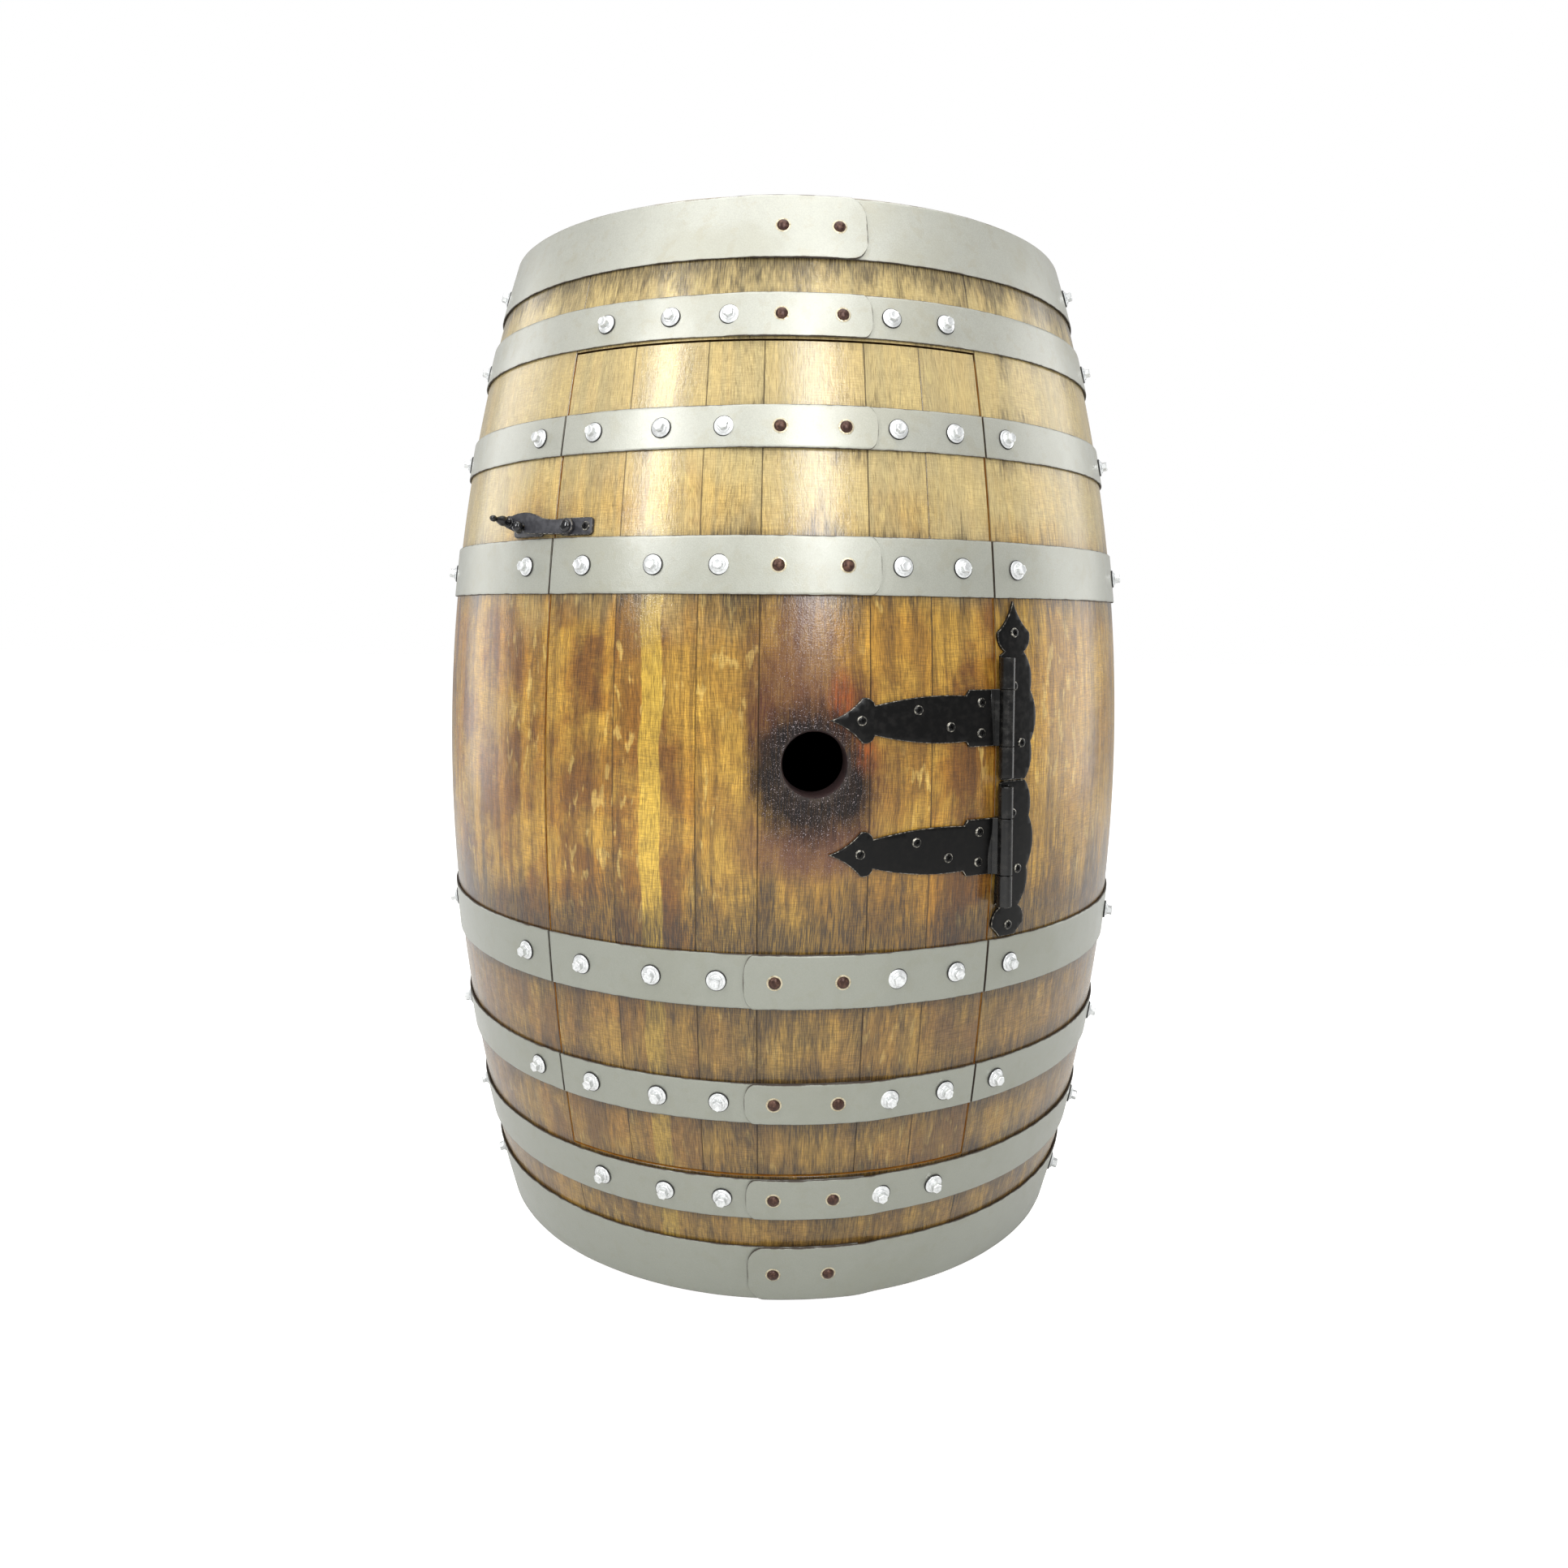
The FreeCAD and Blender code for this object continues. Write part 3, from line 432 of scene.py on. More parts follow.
def weave(wood, figure, calm=0.0):
    """Crosses the colour with fine threads along the grain and the hatching of the sander.
    Where calm is 1 both are gone."""
    light = figure["Threads"].between(0.72, 1.14) * figure["Hatch"].between(0.80, 1.12)
    wood.colour = wood.mix(1.0, wood.colour, wood.blend(calm, light, 1.0), "MULTIPLY")
    wood.lay(figure["Pores"] * wood.blend(calm, 0.40, 0.0), PORE_BROWN)


def varnished_oak():
    """Outside of the staves: varnished, iron-stained beside the hoops and wine-stained at the bung; painted
    sheen above, painted shade below.
    """
    wood = Finish("varnished_oak", coat=0.8, coat_roughness=0.16, specular=0.2)
    side, along, _ = wood.uv().axes()
    board = wood.attribute("board")
    figure = wood.use(OAK_FIGURE, Vector=wood.join(side, along, board))
    threads = figure["Threads"]
    place = wood.place()
    z = place.axes()[2]
    wear = wood.use(WEAR, Vector=place, Seed=3.0)
    clean_oak(wood, figure)
    wave = (wood.join(0.0, z * 16).noise(1.0, 3.0) - 0.5) * 0.012
    off = wood.math("ABSOLUTE", side - way_round(SAPWOOD[0]) + wave)
    wood.lay(off.step(SAPWOOD[1], SAPWOOD[1] + 1.5 * MM, 0.75, 0.0), srgb(208, 172, 66))
    wood.lay(wear["Clouds"].step(0.2, 1.0) * 0.28, srgb(100, 68, 30))
    # painted sheen: from about this height up the wood is paler and its grain calmer
    level = z + (wear["Clouds"] - 0.5) * 0.08
    pale = level.step(SHEEN_PAINTED_FROM - 0.03, SHEEN_PAINTED_FROM + 0.12, 0.0, 0.68)
    wood.lay(pale, srgb(190, 176, 128))
    # painted shade: the wood darker low down
    wood.lay(level.step(SHADE_PAINTED_UNDER - 0.10, SHADE_PAINTED_UNDER, 0.50, 0.0), srgb(104, 86, 56))
    # the painted sheen also calms the fine grain
    weave(wood, figure, pale * 0.75)
    broad = place.stretch(42, 42, 5).noise(1.0, 4.0, 0.65)
    fine = place.stretch(320, 320, 26).noise(1.0, 2.0)
    ragged = (broad - 0.5) * 1.5 + (fine - 0.5) * 0.8 + (board - 0.5) * 0.35
    iron = (wood.attribute("stain") + ragged).step(0.34, 1.0) * threads.between(0.85, 0.55)
    wood.lay(iron, IRON_STAIN)
    bung = wood.use(BUNG_STAIN, Vector=place)
    wood.lay(bung["Haze"] * 0.72, srgb(84, 44, 30))
    wood.lay(bung["Red"] * threads.between(0.90, 0.70), srgb(66, 24, 12))
    wood.lay(bung["Ember"] * threads.between(0.55, 0.9), srgb(150, 70, 6))
    wood.lay(bung["Char"] * threads.between(1.0, 0.90), srgb(12, 8, 9))
    wood.lay(bung["Ash"] * 0.16, srgb(96, 88, 84))
    dust = bung["Char"] * 0.58 + iron * 0.06 + bung["Haze"] * 0.35
    wood.lay(place.noise(1400.0, 1.0).step(0.655, 0.70) * dust, srgb(188, 174, 176))
    wood.lay(wood.attribute("joint") * 0.88, srgb(32, 22, 14))
    film = place.noise(900.0, 1.0) + place.noise(260.0, 1.0) * 0.8
    return wood.finished(Coat_Weight=0.8 - bung["Char"] * 0.66,
                         Roughness=wear["Mottle"].between(0.44, 0.60) + figure["Pores"] * 0.15,
                         Normal=figure["Height"].bump(0.00026, 0.9),
                         Coat_Normal=film.bump(0.00013, 0.8))


def sawn_oak():
    """Saw cuts round the door: yellow oak, with wine soaked into the inner third, and painted shade with dirt
    along the top cut.
    """
    wood = Finish("sawn_oak", roughness=0.42, coat=0.3, coat_roughness=0.2)
    side, along, _ = wood.uv().axes()
    depth = wood.attribute("depth")
    figure = wood.use(OAK_FIGURE, Vector=wood.join(depth * STAVE_T, along + side, wood.attribute("board")))
    wood.colour = wood.mix(figure["Threads"], CUT_YELLOW, CUT_AMBER)
    wood.lay(figure["Pores"] * 0.35, TOBACCO)
    wander = (wood.join(side, along).noise(38.0, 3.0) - 0.5) * 0.5
    wood.lay((depth + wander).step(0.60, 0.82) * 0.85, WINE_RED)
    wood.lay((depth + wander * 0.3).step(0.90, 1.0), srgb(30, 20, 18))
    wood.lay(depth.step(0.0, 0.14, 0.60, 0.0), srgb(120, 72, 28))
    # painted shade, together with dirt: darker along the top of the door's cut, under the hoop
    wood.lay(along.step(DOOR_TOP - 6 * MM, DOOR_TOP - 3 * MM, 0.0, 0.8), srgb(44, 27, 18))
    return wood.finished(Normal=figure["Height"].bump(0.00015, 0.7))


def end_grain_oak():
    """Ends of the staves and their bevel: porous growth rings that cross each stave."""
    wood = Finish("end_grain_oak", roughness=0.6, coat=0.2, coat_roughness=0.3)
    place = wood.place()
    board = wood.attribute("board")
    wear = wood.use(WEAR, Vector=place, Seed=11.0)
    lean = wood.uv().axes()[0] * board.between(-0.5, 0.5) + wood.attribute("depth") * STAVE_T
    years = wood.math("SINE", (lean + wear["Mottle"] * (0.6 * MM)) * 2400.0)
    rings = years * 0.22 + place.noise(1500.0, 2.0, 0.6)
    wood.colour = wood.mix(rings.step(0.34, 0.72), srgb(168, 122, 60), srgb(104, 68, 32))
    wood.lay(board.step(0.0, 1.0, 0.0, 0.45), srgb(86, 60, 38))
    wood.lay(wear["Clouds"] * 0.5, srgb(70, 48, 32))
    wood.lay(wood.attribute("joint") * 0.9, srgb(24, 16, 12))
    return wood.finished(Normal=rings.bump(0.0003, 0.8))


def charred_oak():
    """Inside of the barrel: toasted black, checked along the grain and tinted by wine."""
    wood = Finish("charred_oak", roughness=0.62, specular=0.35)
    place = wood.place()
    sound = place.stretch(420, 420, 9).noise(1.0, 3.0, 0.6).step(0.66, 0.60)
    fibres = place.stretch(900, 900, 20).noise(1.0, 3.0, 0.6)
    wear = wood.use(WEAR, Vector=place, Seed=7.0)
    wood.colour = wood.mix(fibres.step(0.35, 0.7), srgb(20, 15, 14), srgb(52, 38, 34))
    wood.lay(wear["Clouds"] * 0.5, srgb(44, 22, 24))
    wood.colour = wood.mix(sound, srgb(8, 6, 6), wood.colour)
    wood.lay(wood.attribute("joint") * 0.9, srgb(5, 4, 4))
    return wood.finished(Normal=(sound + fibres * 0.5).bump(0.0005, 0.8))


def head_oak():
    """Boards of the heads, sanded and varnished like the staves; the grain runs along X."""
    wood = Finish("head_oak", coat=0.45, coat_roughness=0.2)
    place = wood.place()
    x, y, _ = place.axes()
    figure = wood.use(OAK_FIGURE, Vector=wood.join(y, x, wood.attribute("board")))
    wear = wood.use(WEAR, Vector=place, Seed=23.0)
    clean_oak(wood, figure)
    weave(wood, figure)
    wood.lay(wear["Clouds"] * 0.35, srgb(110, 84, 50))
    distance = wood.math("SQRT", x * x + y * y)
    rim = (distance + (wear["Mottle"] - 0.5) * 0.02).step(0.215, 0.262)
    wood.lay(rim * 0.7, srgb(58, 36, 24))
    return wood.finished(Roughness=wear["Mottle"].between(0.34, 0.52),
                         Normal=figure["Height"].bump(0.0002, 0.8))


def shelf_ply():
    """Stained plywood: dark faces, and veneers in two tones on its edges."""
    wood = Finish("shelf_ply", roughness=0.45, coat=0.2, coat_roughness=0.25)
    place = wood.place()
    x, y, z = place.axes()
    figure = wood.use(OAK_FIGURE, Vector=wood.join(y, x, 0.31))
    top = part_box("shelf")[1].z
    veneers = wood.math("SINE", (top - z) * (2 * math.pi / (3.6 * MM)))
    streaky = place.stretch(24, 24, 500).noise(1.0, 3.0)
    wood.colour = wood.mix(veneers.step(-0.35, 0.35), srgb(84, 52, 34), srgb(176, 128, 88))
    wood.lay(streaky.step(0.45, 0.75, 0.0, 0.6), srgb(98, 64, 46))
    face = wood.mix(figure["Streaks"], srgb(92, 58, 34), srgb(122, 80, 46))
    face = wood.mix(figure["Pores"] * 0.5, face, srgb(50, 32, 20))
    upright = wood.get("ShaderNodeNewGeometry", output="Normal").axes()[2]
    wood.lay(wood.math("ABSOLUTE", upright).step(0.5, 0.8), face)
    return wood.finished(Normal=figure["Height"].bump(0.00015, 0.6))


def rack_wood():
    """Dark stained strips and rails; the grain runs along Y."""
    wood = Finish("rack_wood", roughness=0.5, coat=0.15, coat_roughness=0.3)
    x, y, z = wood.place().axes()
    figure = wood.use(OAK_FIGURE, Vector=wood.join(x + z, y, wood.attribute("board")))
    wood.colour = wood.mix(figure["Streaks"], srgb(74, 48, 30), srgb(108, 72, 44))
    wood.lay(figure["Pores"] * 0.6, srgb(36, 24, 16))
    return wood.finished(Normal=figure["Height"].bump(0.0002, 0.7))


def hoop_steel():
    """Galvanised strip: fine spangle, faint clouds, yellow dirt, rust along its cut edges, and painted shade
    on the lower hoops.
    """
    steel = Finish("galvanised_hoop", coat=0.7, coat_roughness=0.19)
    place = steel.place()
    wear = steel.use(WEAR, Vector=place, Seed=31.0)
    spangle = place.noise(900.0, 2.0, 0.7).step(0.36, 0.64)
    facets = steel.get("ShaderNodeTexVoronoi", {"Vector": place, "Scale": 160.0}, "Color").axes()[0]
    rust = (steel.attribute("rim") + (wear["Mottle"] - 0.5) * 0.35).step(0.45, 0.95)
    steel.colour = steel.mix(spangle, srgb(164, 165, 155), srgb(173, 173, 163))
    steel.lay(facets.step(0.5, 1.0, 0.0, 0.06), srgb(140, 142, 134))
    steel.lay(wear["Clouds"].step(0.35, 1.0, 0.0, 0.26), srgb(152, 149, 128))
    steel.lay(wear["Mottle"].step(0.6, 1.0, 0.0, 0.12), srgb(146, 134, 92))
    # painted shade: the lower hoops darker, as where they reflect a darker floor
    steel.lay(place.axes()[2].step(0.30, 0.88, 0.62, 0.0), srgb(124, 128, 117))
    steel.lay(rust * 0.92, srgb(46, 30, 22))
    return steel.finished(Metallic=rust.between(0.58, 0.0),
                          Coat_Weight=rust.between(0.7, 0.05),
                          Roughness=spangle.between(0.49, 0.53) + wear["Clouds"] * 0.08 + rust * 0.25,
                          Normal=(spangle * 0.5 + (wear["Mottle"] + facets * 0.2)).bump(0.00009, 0.7),
                          Coat_Normal=place.noise(1100.0, 1.0).bump(0.00016, 0.8))


def inner_strap_steel():
    """Old strip reused inside the door: pale zinc, blotched with yellow rust."""
    steel = Finish("inner_strap_steel", roughness=0.45)
    wear = steel.use(WEAR, Vector=steel.place(), Seed=41.0)
    steel.colour = steel.mix(wear["Clouds"], srgb(196, 192, 172), srgb(164, 160, 140))
    steel.lay(wear["Mottle"].step(0.55, 1.0, 0.0, 0.38), srgb(158, 130, 78))
    return steel.finished(Metallic=wear["Mottle"].between(0.65, 0.3),
                          Normal=wear["Mottle"].bump(0.00015, 0.7))


def small_metal(name, colour, worn, roughness, metallic, grain, relief, specular=0.5):
    """Small metal parts: two tones and a fine uneven surface."""
    metal = Finish(name, metallic=metallic, specular=specular)
    texture = metal.place().noise(grain, 3.0, 0.6)
    patch = texture.step(0.42, 0.68)
    metal.colour = metal.mix(patch, srgb(*colour), srgb(*worn))
    return metal.finished(Roughness=patch.between(roughness, roughness + 0.14),
                          Normal=texture.bump(relief, 0.8))


STAVE_FINISHES = (varnished_oak(), sawn_oak(), charred_oak(), end_grain_oak())
OUTER, SIDE, INNER, ENDS = range(4)
HEAD_OAK = head_oak()
SHELF_PLY = shelf_ply()
RACK_WOOD = rack_wood()
HOOP_STEEL = hoop_steel()
STRAP_STEEL = inner_strap_steel()
BLACK_IRON = small_metal("black_iron", (6, 6, 6), (13, 12, 11), 0.28, 0.0, 190.0, 0.00005, 0.18)
# painted light: the latch is a lighter grey than the black hinge iron, as where it faces the light
LIT_LATCH_IRON = small_metal("latch_iron_painted_lit", (44, 44, 48), (58, 58, 62), 0.40, 0.2, 240.0, 0.00005)
TURNED_IRON = small_metal("turned_iron", (12, 12, 14), (26, 26, 29), 0.12, 0.3, 120.0, 0.00003, 0.8)
RUBBED_IRON = small_metal("rubbed_iron", (14, 14, 14), (34, 33, 31), 0.16, 0.35, 150.0, 0.00004, 0.6)
WORN_EDGE = small_metal("worn_edge", (30, 29, 27), (150, 144, 132), 0.34, 0.5, 420.0, 0.00004)
WORN_SCREW = small_metal("worn_screw", (52, 51, 48), (176, 172, 160), 0.30, 0.5, 500.0, 0.00004)
ZINC = small_metal("zinc_bolt", (224, 226, 226), (198, 200, 200), 0.34, 0.72, 420.0, 0.00006)
RUBBER = small_metal("black_rubber", (18, 18, 18), (28, 27, 26), 0.60, 0.0, 300.0, 0.00005)
RIVET = small_metal("dark_rivet", (58, 38, 32), (92, 66, 54), 0.36, 0.60, 380.0, 0.00015)
RIVET_RIM = small_metal("rivet_rim", (196, 186, 160), (150, 138, 112), 0.40, 0.60, 500.0, 0.00008)
BRASS = small_metal("brass_screw", (196, 158, 74), (150, 112, 46), 0.32, 0.90, 300.0, 0.00008)


# ---------------------------------------------------------------- mesh helpers
def add_object(name, mesh, finishes=()):
    for finish in finishes:
        mesh.materials.append(finish)
    made = bpy.data.objects.new(name, mesh)
    bpy.context.scene.collection.objects.link(made)
    return made


def new_object(name, points, faces, finishes=()):
    mesh = bpy.data.meshes.new(name)
    mesh.from_pydata([tuple(point) for point in points], [], faces)
    return add_object(name, mesh, finishes)


def gathered(shells):
    """Points and faces of several shells as one mesh."""
    points = []
    faces = []
    for more_points, more_faces in shells:
        faces += [tuple(index + len(points) for index in face) for face in more_faces]
        points += more_points
    return points, faces


@contextmanager
def edited(data):
    """A mesh opened for editing, and written back afterwards."""
    mesh = bmesh.new()
    mesh.from_mesh(data)
    yield mesh
    mesh.to_mesh(data)
    mesh.free()


def read(items, name, width=1, kind=float):
    """One property of all items of a mesh."""
    values = np.zeros(len(items) * width, kind)
    items.foreach_get(name, values)
    return values.reshape(-1, width) if width > 1 else values


def mark(mesh, name, domain, values):
    """Writes a value for each face or point that a finish or a tree reads by name."""
    mesh.attributes.new(name, "FLOAT", domain).data.foreach_set("value", np.array(values, np.float32))


def bake(made):
    """Turns an object's modifiers into its plain mesh."""
    graph = bpy.context.evaluated_depsgraph_get()
    mesh = bpy.data.meshes.new_from_object(made.evaluated_get(graph), depsgraph=graph)
    made.modifiers.clear()
    made.data = mesh
    return made


def turn_outwards(made, merge=False):
    """Turns the faces outwards. With merge, points at the same place are joined first."""
    with edited(made.data) as mesh:
        if merge:
            bmesh.ops.remove_doubles(mesh, verts=mesh.verts, dist=1e-6)
        bmesh.ops.recalc_face_normals(mesh, faces=mesh.faces)


def ease(made, width, segments=2, angle=40, finish=-1):
    """Rounds the sharp edges of a mesh. finish is the material number of the rounding, if it has its own."""
    modifier = made.modifiers.new("ease", "BEVEL")
    modifier.width = width
    modifier.segments = segments
    modifier.limit_method = "ANGLE"
    modifier.angle_limit = math.radians(angle)
    modifier.material = finish
    bake(made)


def cut(made, cutter):
    """Takes one shape out of another."""
    modifier = made.modifiers.new("cut", "BOOLEAN")
    modifier.object = cutter
    modifier.operation = "DIFFERENCE"
    modifier.solver = "EXACT"
    bake(made)
    bpy.data.objects.remove(cutter)


def merge(keep, *others):
    """Joins objects into the first one."""
    with bpy.context.temp_override(active_object=keep, selected_editable_objects=[keep, *others]):
        bpy.ops.object.join()
    return keep


def hand_over(made, body, nodes=(), angle=38):
    """Last step of every piece: smooth shading, its body, and hiding the nodes it stands for."""
    made.data.polygons.foreach_set("use_smooth", [True] * len(made.data.polygons))
    made.data.set_sharp_from_angle(angle=math.radians(angle))
    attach(made, body)
    if nodes:
        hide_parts(*nodes)


# ---------------------------------------------------------------- geometry nodes
BARREL_SIZES = {"Belly radius": BELLY_R, "Bow radius": BOW_R, "Height": HEIGHT}


def bend_round_barrel(graph, given):
    """Lays a flat drawing on the bowed barrel."""
    x, y, z = graph.get("GeometryNodeInputPosition").axes()
    angle = x / given["Belly radius"]
    arm = given["Bow radius"] - y
    rise = z - given["Height"] * 0.5
    root = graph.math("SQRT", arm * arm - rise * rise)
    radius = given["Belly radius"] - given["Bow radius"] + root
    laid = graph.join(radius * graph.math("SINE", angle), radius * graph.math("COSINE", angle) * -1.0, z)
    moved = graph.get("GeometryNodeSetPosition", {"Geometry": given["Geometry"], "Position": laid})
    return {"Geometry": graph.get("GeometryNodeRealizeInstances", {0: moved})}


def heads_on_barrel(graph, given):
    """Sets one head square to the barrel on each point, turned by a random angle about its own axis."""
    drawing = {name: given[name] for name in ("Geometry", *BARREL_SIZES)}
    laid = graph.get("GeometryNodeGroup", drawing, node_tree=BEND)
    x, y, z = graph.get("GeometryNodeInputPosition").axes()
    lean = (z - given["Height"] * 0.5) / given["Bow radius"]
    level = graph.get("ShaderNodeVectorMath", {0: graph.join(x, y)}, operation="NORMALIZE")
    square = graph.get("ShaderNodeVectorMath", {0: level, 1: graph.join(0.0, 0.0, lean)}, operation="ADD")
    facing = graph.get("ShaderNodeVectorMath", {0: square, "Scale": given["Flip"]}, operation="SCALE")
    aligned = graph.get("FunctionNodeAlignRotationToVector", {"Vector": facing}, axis="Z")
    random = graph.get("FunctionNodeRandomValue", {3: given["Turn"], "Seed": given["Seed"]}, 1,
                       data_type="FLOAT")
    spin = graph.get("FunctionNodeAxisAngleToRotation", {"Angle": random})
    turn = graph.get("FunctionNodeRotateRotation", {0: aligned, 1: spin}, rotation_space="LOCAL")
    head = graph.get("GeometryNodeObjectInfo", {"Object": given["Head"]}, "Geometry")
    placed = graph.get("GeometryNodeInstanceOnPoints", {"Points": laid, "Rotation": turn, "Instance": head})
    real = graph.get("GeometryNodeRealizeInstances", {0: placed})
    painted = graph.get("GeometryNodeSetMaterial", {"Geometry": real, "Material": given["Material"]})
    edge = graph.get("GeometryNodeInputNamedAttribute", {"Name": "worn"}, data_type="FLOAT")
    worn = {"Geometry": painted, "Material": given["Worn material"],
            "Selection": graph.math("GREATER_THAN", edge, 0.5)}
    return {"Geometry": graph.get("GeometryNodeSetMaterial", worn)}


def geometry_tree(write, inputs):
    sockets = {"Geometry": GEOMETRY, **dict.fromkeys(BARREL_SIZES, FLOAT), **inputs}
    return node_group(write.__name__, "GeometryNodeTree", sockets, GEOMETRY, write)


BEND = geometry_tree(bend_round_barrel, {})
HEADS = geometry_tree(heads_on_barrel, {
    "Head": "NodeSocketObject", "Material": MATERIAL, "Worn material": MATERIAL,
    "Turn": FLOAT, "Flip": FLOAT, "Seed": "NodeSocketInt"})


def apply_tree(made, tree, values):
    modifier = made.modifiers.new(tree.name, "NODES")
    modifier.node_group = tree
    for item in tree.interface.items_tree:
        if item.in_out == "INPUT" and item.name in values:
            modifier[item.identifier] = values[item.name]
    return bake(made)


def bend(made, merge=False):
    """Lays a flat drawing on the barrel and turns its faces outwards."""
    apply_tree(made, BEND, BARREL_SIZES)
    turn_outwards(made, merge)


def heads(name, places, out, head, finish, turn=0.0, seed=1, flip=1.0, worn=None):
    """One object of equal fastener heads. places holds azimuths and heights, out the height off the wood."""
    values = {"Head": head, "Material": finish, "Worn material": worn or finish, "Turn": turn, "Seed": seed,
              "Flip": flip, **BARREL_SIZES}
    return apply_tree(new_object(name, [(way_round(az), -out, z) for az, z in places], []), HEADS, values)


# ---------------------------------------------------------------- turned and small shapes
def ring_faces(rings, sides):
    """Faces between rings of points that follow each other, with the first and last ring closed."""
    faces = []
    for r in range(rings - 1):
        for k in range(sides):
            a = r * sides + k
            b = r * sides + (k + 1) % sides
            faces.append((a, b, b + sides, a + sides))
    return faces + [tuple(reversed(range(sides))), tuple(range((rings - 1) * sides, rings * sides))]


def turned(profile, sides=32, x=0.0, y=0.0):
    """Points and faces of a turned solid about an upright axis, from radii and heights."""
    points = [(r * math.cos(2 * math.pi * k / sides) + x, r * math.sin(2 * math.pi * k / sides) + y, h)
              for r, h in profile for k in range(sides)]
    return points, ring_faces(len(profile), sides)


def in_mm(profile):
    return [(r * MM, h * MM) for r, h in profile]


# profile in mm and number of sides of each turned shell of a fastener
FASTENERS = {
    "bolt_head": [([(3.0, 1.0), (7.9, 1.0), (8.1, 1.25), (7.9, 1.55), (6.6, 2.15), (5.2, 2.5),
                    (3.0, 2.5)], 28),
                  ([(3.0, 2.4), (5.7, 2.4), (5.9, 2.65), (5.7, 3.0), (4.9, 3.5), (3.0, 3.6)], 24),
                  ([(4.62, 2.9), (4.62, 7.2), (4.2, 7.75), (3.6, 8.0), (2.6, 7.75), (0.6, 7.7)], 6)],
    "rubber_ring": [([(3.0, -0.2), (8.2, -0.2), (8.75, 0.3), (8.7, 0.9), (8.3, 1.25), (3.0, 1.25)], 28)],
    "rivet_dome": [([(5.2, -0.2)] + [(5.2 * math.cos(t), 3.0 * math.sin(t)) for t in
                                     np.radians((0, 14, 30, 46, 62, 78))] + [(0.3, 3.0)], 24)],
    "rivet_rim": [([(4.6, -0.2), (6.3, -0.2), (6.5, 0.02), (6.2, 0.16), (4.6, 0.2)], 28)],
}
CROSS_HEAD = [(1.0, -0.3), (1.0, 0.4), (0.93, 0.9), (0.75, 1.35), (0.45, 1.65), (0.3 * MM / SCREW_R, 1.75)]


def fastener(name):
    return new_object(name, *gathered([turned(in_mm(profile), sides) for profile, sides in FASTENERS[name]]))


def cross_head(finishes=()):
    """Screw head with a cross recess. Its edge, which is worn, has the second finish."""
    made = new_object("cross_head", *turned([(share * SCREW_R, h * MM) for share, h in CROSS_HEAD], 28))
    for turn in (0, 90):
        points = []
        for z, reach, half in ((0.3, 0.9, 0.22), (3.0, 3.1, 0.62)):
            for a, b in ((-1, -1), (1, -1), (1, 1), (-1, 1)):
                points.append((across(turn) * a * reach - outward(turn) * b * half + UP * z) * MM)
        cutter = new_object("cutter", points, ring_faces(2, 4))
        turn_outwards(cutter, merge=True)
        cut(made, cutter)
    turn_outwards(made, merge=True)
    edge = [1.0 if face.center.xy.length > 0.80 * SCREW_R else 0.0 for face in made.data.polygons]
    mark(made.data, "worn", "FACE", edge)
    made.data.materials.clear()
    for finish in finishes:
        made.data.materials.append(finish)
    if finishes:
        made.data.polygons.foreach_set("material_index", [int(value) for value in edge])
    return made


# ---------------------------------------------------------------- staves
def inner_line(low, high):
    """Inside of a stave from top to bottom, with croze and chime bevel where it reaches a barrel end."""
    rows = max(2, round((high - low) / (3 * STAVE_ROW)))
    croze_low, croze_high, croze_depth = CROZE
    groove = croze_depth - STAVE_T
    bevel = CHIME_BEVEL - STAVE_T
    line = []
    floor = low
    ceiling = high
    if high == HEIGHT:
        ceiling = HEIGHT - croze_high
        line += [(bevel, high), (-STAVE_T, high - CHIME_BEVEL), (-STAVE_T, high - croze_low),
                 (groove, high - croze_low), (groove, ceiling)]
    if low == 0:
        floor = croze_high
    line.append((-STAVE_T, ceiling))
    for k in range(rows + 1):
        z = high - (high - low) * k / rows
        if floor + MM < z < ceiling - MM:
            line.append((-STAVE_T, z))
    line.append((-STAVE_T, floor))
    if low == 0:
        line += [(groove, floor), (groove, croze_low), (-STAVE_T, croze_low), (-STAVE_T, CHIME_BEVEL),
                 (bevel, 0)]
    return line


def stave_shell(start, end, low, high):
    """A stave drawn flat: points, faces and the finish of each face."""
    ease_by = STAVE_EASE
    rows = max(2, round((high - low) / STAVE_ROW))
    outer = [(-ease_by, low), (0, low + ease_by)]
    outer += [(0, low + (high - low) * k / rows) for k in range(1, rows)]
    outer += [(0, high - ease_by), (-ease_by, high)]
    section = outer + inner_line(low, high)
    count = len(section)
    width = way_round(end) - way_round(start)
    columns = max(4, round(width / (9 * MM)))
    stations = [0, ease_by, 3 * ease_by] + [width * k / columns for k in range(1, columns)]
    stations += [width - 3 * ease_by, width - ease_by, width]
    points = []
    for index, station in enumerate(stations):
        inset = ease_by if index in (0, len(stations) - 1) else 0
        x = way_round(start) + station
        points += [(x, -min(max(out, inset - STAVE_T), -inset), z) for out, z in section]
    faces = []
    finishes = []
    for column in range(len(stations) - 1):
        for k, (out, z) in enumerate(section):
            a = column * count + k
            b = column * count + (k + 1) % count
            faces.append((a, a + count, b + count, b))
            next_out, next_z = section[(k + 1) % count]
            if k < len(outer) - 1:
                finishes.append(OUTER)
            elif abs(z - next_z) < 1e-6 or k >= len(outer) and abs(out - next_out) > 1e-6:
                barrel_end = low == 0 and z < 0.1 or high == HEIGHT and z > HEIGHT - 0.1
                finishes.append(ENDS if barrel_end else SIDE)
            else:
                finishes.append(INNER)
    faces += [tuple(range(count)), tuple(reversed(range((len(stations) - 1) * count, len(stations) * count)))]
    return points, faces, finishes + [SIDE, SIDE]


